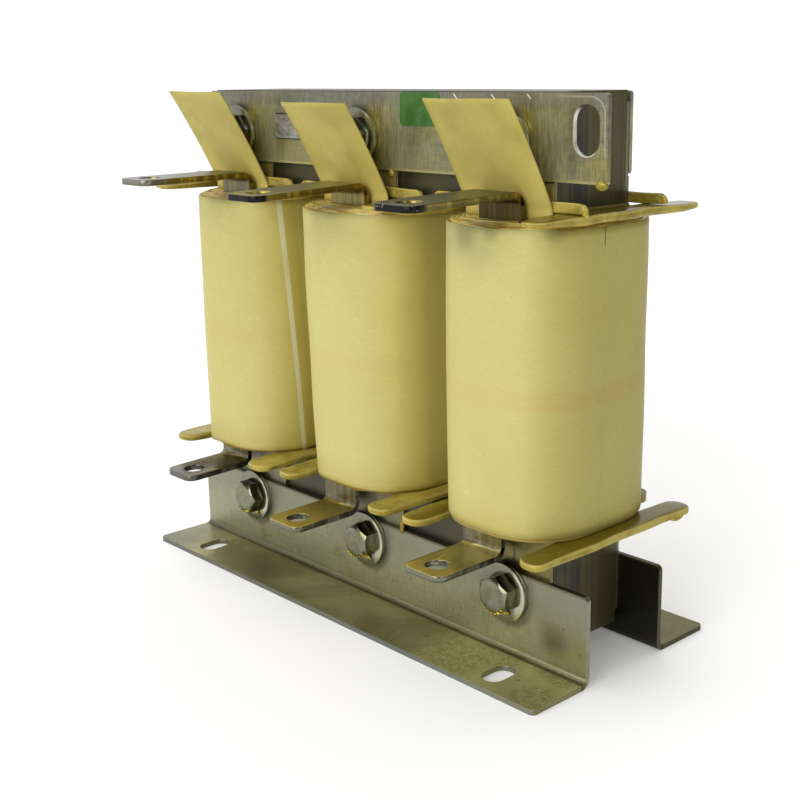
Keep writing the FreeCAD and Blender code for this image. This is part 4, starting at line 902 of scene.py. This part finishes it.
def hexagon(height, both_faces, bore):
    """Hexagonal head or nut whose corners are cut back by a cone."""
    shape = bmesh.new()
    bmesh.ops.create_cone(shape, cap_ends=True, segments=60, radius1=HALF_FLATS,
                          radius2=HALF_FLATS, depth=height)
    bmesh.ops.translate(shape, vec=(0.0, 0.0, height / 2), verts=shape.verts)
    for end, level in ((1, height), (-1, 0.0)):
        cut = end > 0 or both_faces
        for face in capping(shape, 2, end):
            for vert in face.verts:
                turn = math.atan2(vert.co.y, vert.co.x)
                reach = HALF_FLATS / math.cos((turn % (math.pi / 3)) - math.pi / 6)
                drop = (reach - HALF_FLATS * CHAMFER_SHARE) * 0.8 if cut else 0.0
                vert.co = Vector((reach * math.cos(turn), reach * math.sin(turn), level - end * drop))
    for end, level in ((1, height), (-1, 0.0)):
        if end < 0 and not both_faces:
            continue
        cap = [max(shape.faces, key=lambda f: f.calc_center_median().z * end)]
        steps = [(HALF_FLATS * CHAMFER_SHARE, 0.0), (HALF_FLATS * 0.84, CROWN)]
        if bore:
            steps += [(bore + 0.0005, CROWN), (bore, -0.0005)]
        for radius, lift in steps:
            bmesh.ops.inset_region(shape, faces=cap, thickness=0.0001, depth=0.0)
            for vert in cap[0].verts:
                turn = math.atan2(vert.co.y, vert.co.x)
                vert.co = Vector((radius * math.cos(turn), radius * math.sin(turn), level + end * lift))
    return shape


HEAD_HEIGHT, NUT_HEIGHT = 0.0053, 0.0066
SHANK_RADIUS, THREAD_ROOT, CORE_RADIUS = 0.00395, 0.0033, 0.00345
THREAD_PITCH, THREAD_FOOT, BOLT_END = 0.00141, -0.0578, -0.0572
head = hexagon(HEAD_HEIGHT - CROWN, False, 0.0)
shank = lathe([(0.0, -0.057), (0.0031, -0.0571), (CORE_RADIUS, -0.0565), (CORE_RADIUS, 0.001)])
ridges = [((THREAD_ROOT, SHANK_RADIUS)[i % 2], THREAD_FOOT + THREAD_PITCH * i / 2) for i in range(41)]
thread = lathe(ridges, 1.0, 32, THREAD_PITCH)
for vert in thread.verts:
    limit = 0.0032 + max(0.0, vert.co.z - BOLT_END) * 0.9
    reach = math.hypot(vert.co.x, vert.co.y)
    if reach > limit:
        vert.co.x *= limit / reach
        vert.co.y *= limit / reach
    vert.co.z = max(vert.co.z, BOLT_END)
plain = lathe([(THREAD_ROOT, -0.03), (SHANK_RADIUS, -0.0293), (SHANK_RADIUS, 0.001)])
bolt_parts = lay([head, shank, thread, plain], WASHER_THICKNESS, False)
bolts = add_object("zinc_bolts", bolt_parts, zinc, 30.0)
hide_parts("hex_bolts")

WASHER_BORE = 0.00435
WASHER_HALF_PROFILE = [(WASHER_BORE, 0.0002), (WASHER_BORE + 0.0002, 0.0),
                       (WASHER_RADIUS - 0.0004, 0.0), (WASHER_RADIUS - 0.0001, 0.0001),
                       (WASHER_RADIUS, 0.0004)]
washer_profile = WASHER_HALF_PROFILE + [(radius, WASHER_THICKNESS - height)
                                        for radius, height in reversed(WASHER_HALF_PROFILE)]
washer_profile.append(WASHER_HALF_PROFILE[0])
washers = lay([lathe(washer_profile)], 0.0, False)
join(lay([lathe(washer_profile)], 0.0, True), washers)
washer_piece = add_object("zinc_washers", washers, zinc, 50.0)
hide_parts("flat_washers")

SPRING_BORE, SPRING_RADIUS, SPRING_TURN = 0.0041, 0.0069, 0.965
spring = lathe([(SPRING_BORE, 0.0), (SPRING_RADIUS, 0.0), (SPRING_RADIUS, SPRING_THICKNESS),
                (SPRING_BORE, SPRING_THICKNESS), (SPRING_BORE, 0.0)], SPRING_TURN, 48)
bmesh.ops.remove_doubles(spring, verts=spring.verts, dist=0.000001)
bmesh.ops.holes_fill(spring, edges=[e for e in spring.edges if e.is_boundary], sides=8)
corners = [e for e in spring.edges if e.calc_face_angle(0.0) > 0.8]
bmesh.ops.bevel(spring, geom=corners, offset=0.00025, segments=2, affect="EDGES",
                profile=0.5, material=-1)
springs = add_object("zinc_spring_washers", lay([spring], WASHER_THICKNESS, True), zinc,
                     50.0)
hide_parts("lock_washers")
nut_lift = WASHER_THICKNESS + SPRING_THICKNESS
nut_shapes = lay([hexagon(NUT_HEIGHT, True, SHANK_RADIUS)], nut_lift, True)
nuts = add_object("zinc_nuts", nut_shapes, zinc, 30.0)
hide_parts("hex_nuts")

# Labels on the front clamp bar: a small green film with round corners and nothing on it,
# and a strip of blank aluminium foil, pressed on by hand and a little crinkled.
film = Finish("label_film")
film_haze = film.cloud(150.0, 3.0, 0.6)
film_tone = film.mix(film.between(film_haze, 0.35, 0.65), (0.028, 0.1, 0.016), (0.06, 0.145, 0.03))
film.surface(Base_Color=film_tone, Roughness=0.4, Specular_IOR_Level=0.2,
             Normal=film.bump(film_haze, 0.00015, 0.4))
low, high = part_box("inspection_label")
label = box_shape(low, high)
round_edges(label, 1, 0.0018, 6)
green = add_object("green_film", label, film)
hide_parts("inspection_label")

foil = Finish("foil_strip")
crinkle = foil.cloud(1.0, 3.0, 0.6, foil.scaled((190.0, 190.0, 520.0)))
low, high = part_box("foil_label")
foil_tone = foil.mix(foil.between(crinkle, 0.3, 0.7), (0.2, 0.2, 0.16), (0.42, 0.42, 0.38))
# Dark lines along the top and bottom edges; the lower one is painted shadow where the foil stands off
# the bar.
clear_of_edge_shadow = foil.strip(foil.high, low[2] + 0.0006, high[2] - 0.0006, 0.0003)
foil_tone = foil.mix(clear_of_edge_shadow, (0.05, 0.048, 0.03), foil_tone)
foil.surface(Base_Color=foil_tone, Metallic=0.8, Roughness=0.3 + crinkle * 0.15,
             Normal=foil.bump(crinkle, 0.0004, 0.6))
strip = box_shape(low, high)
slice_block(strip, 0, [low[0] + 0.0006 * i for i in range(1, 43)])
slice_block(strip, 2, [low[2] + 0.0006 * i for i in range(1, 17)])
for vert in strip.verts:
    if vert.co.y < high[1] - 0.0002:
        pressed = vert.co.y - 0.0001 + 0.0003 * abs(noise.noise(vert.co * 420.0))
        vert.co.y = min(high[1] - 0.0001, pressed)
silver = add_object("foil_strip", strip, foil, 60.0)
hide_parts("foil_label")

# Varnish drops: what ran together and set hard under edges and bolt heads after the dip,
# clear brown where it is thin and almost black where it is thick.
amber = Finish("set_varnish")
amber_depth = amber.cloud(220.0, 2.0, 0.5)
amber_tone = amber.mix(amber.between(amber_depth, 0.35, 0.6), (0.22, 0.17, 0.012), (0.5, 0.4, 0.05))
amber.surface(Base_Color=amber_tone, Metallic=0.4, Roughness=0.1,
              Normal=amber.bump(amber_depth, 0.0004, 0.5))
DROPS = [((0.1165, -0.0204, 0.1718), (0.0026, 0.0011, 0.0015)),
         ((0.0176, -0.0199, 0.1716), (0.0012, 0.0009, 0.002)),
         ((0.1103, 0.0335, 0.0477), (0.0024, 0.0036, 0.0013)),
         ((0.0212, -0.0211, 0.0348), (0.0012, 0.0009, 0.0026)),
         ((0.1102, -0.0204, 0.1622), (0.0012, 0.001, 0.0012)),
         ((0.0422, -0.0204, 0.1632), (0.0013, 0.001, 0.0016))]
HEAD_RIM = 0.0062
for x, seat, z in BOLT_AXES:
    DROPS.append(((x + 0.0022, -seat - 0.0022, z - 0.0069), (0.0021, 0.0005, 0.001)))
    for step in range(6):
        around = math.radians(-125 + 17 * step)
        aside, above = HEAD_RIM * math.cos(around), HEAD_RIM * math.sin(around)
        place = Vector((x + aside, -seat - WASHER_THICKNESS - HEAD_HEIGHT + 0.0001, z + above))
        crumb = 0.0005 + 0.0003 * noise.noise(place * 900.0)
        DROPS.append((place, (crumb * 1.4, crumb, crumb)))
drops = bmesh.new()
for centre, half in DROPS:
    made = bmesh.ops.create_icosphere(drops, subdivisions=3, radius=1.0)["verts"]
    bmesh.ops.scale(drops, vec=half, verts=made)
    bmesh.ops.translate(drops, vec=centre, verts=made)
    for vert in made:
        vert.co += vert.normal * 0.0004 * noise.noise(vert.co * 330.0)
add_object("varnish_drops", drops, amber, 80.0)
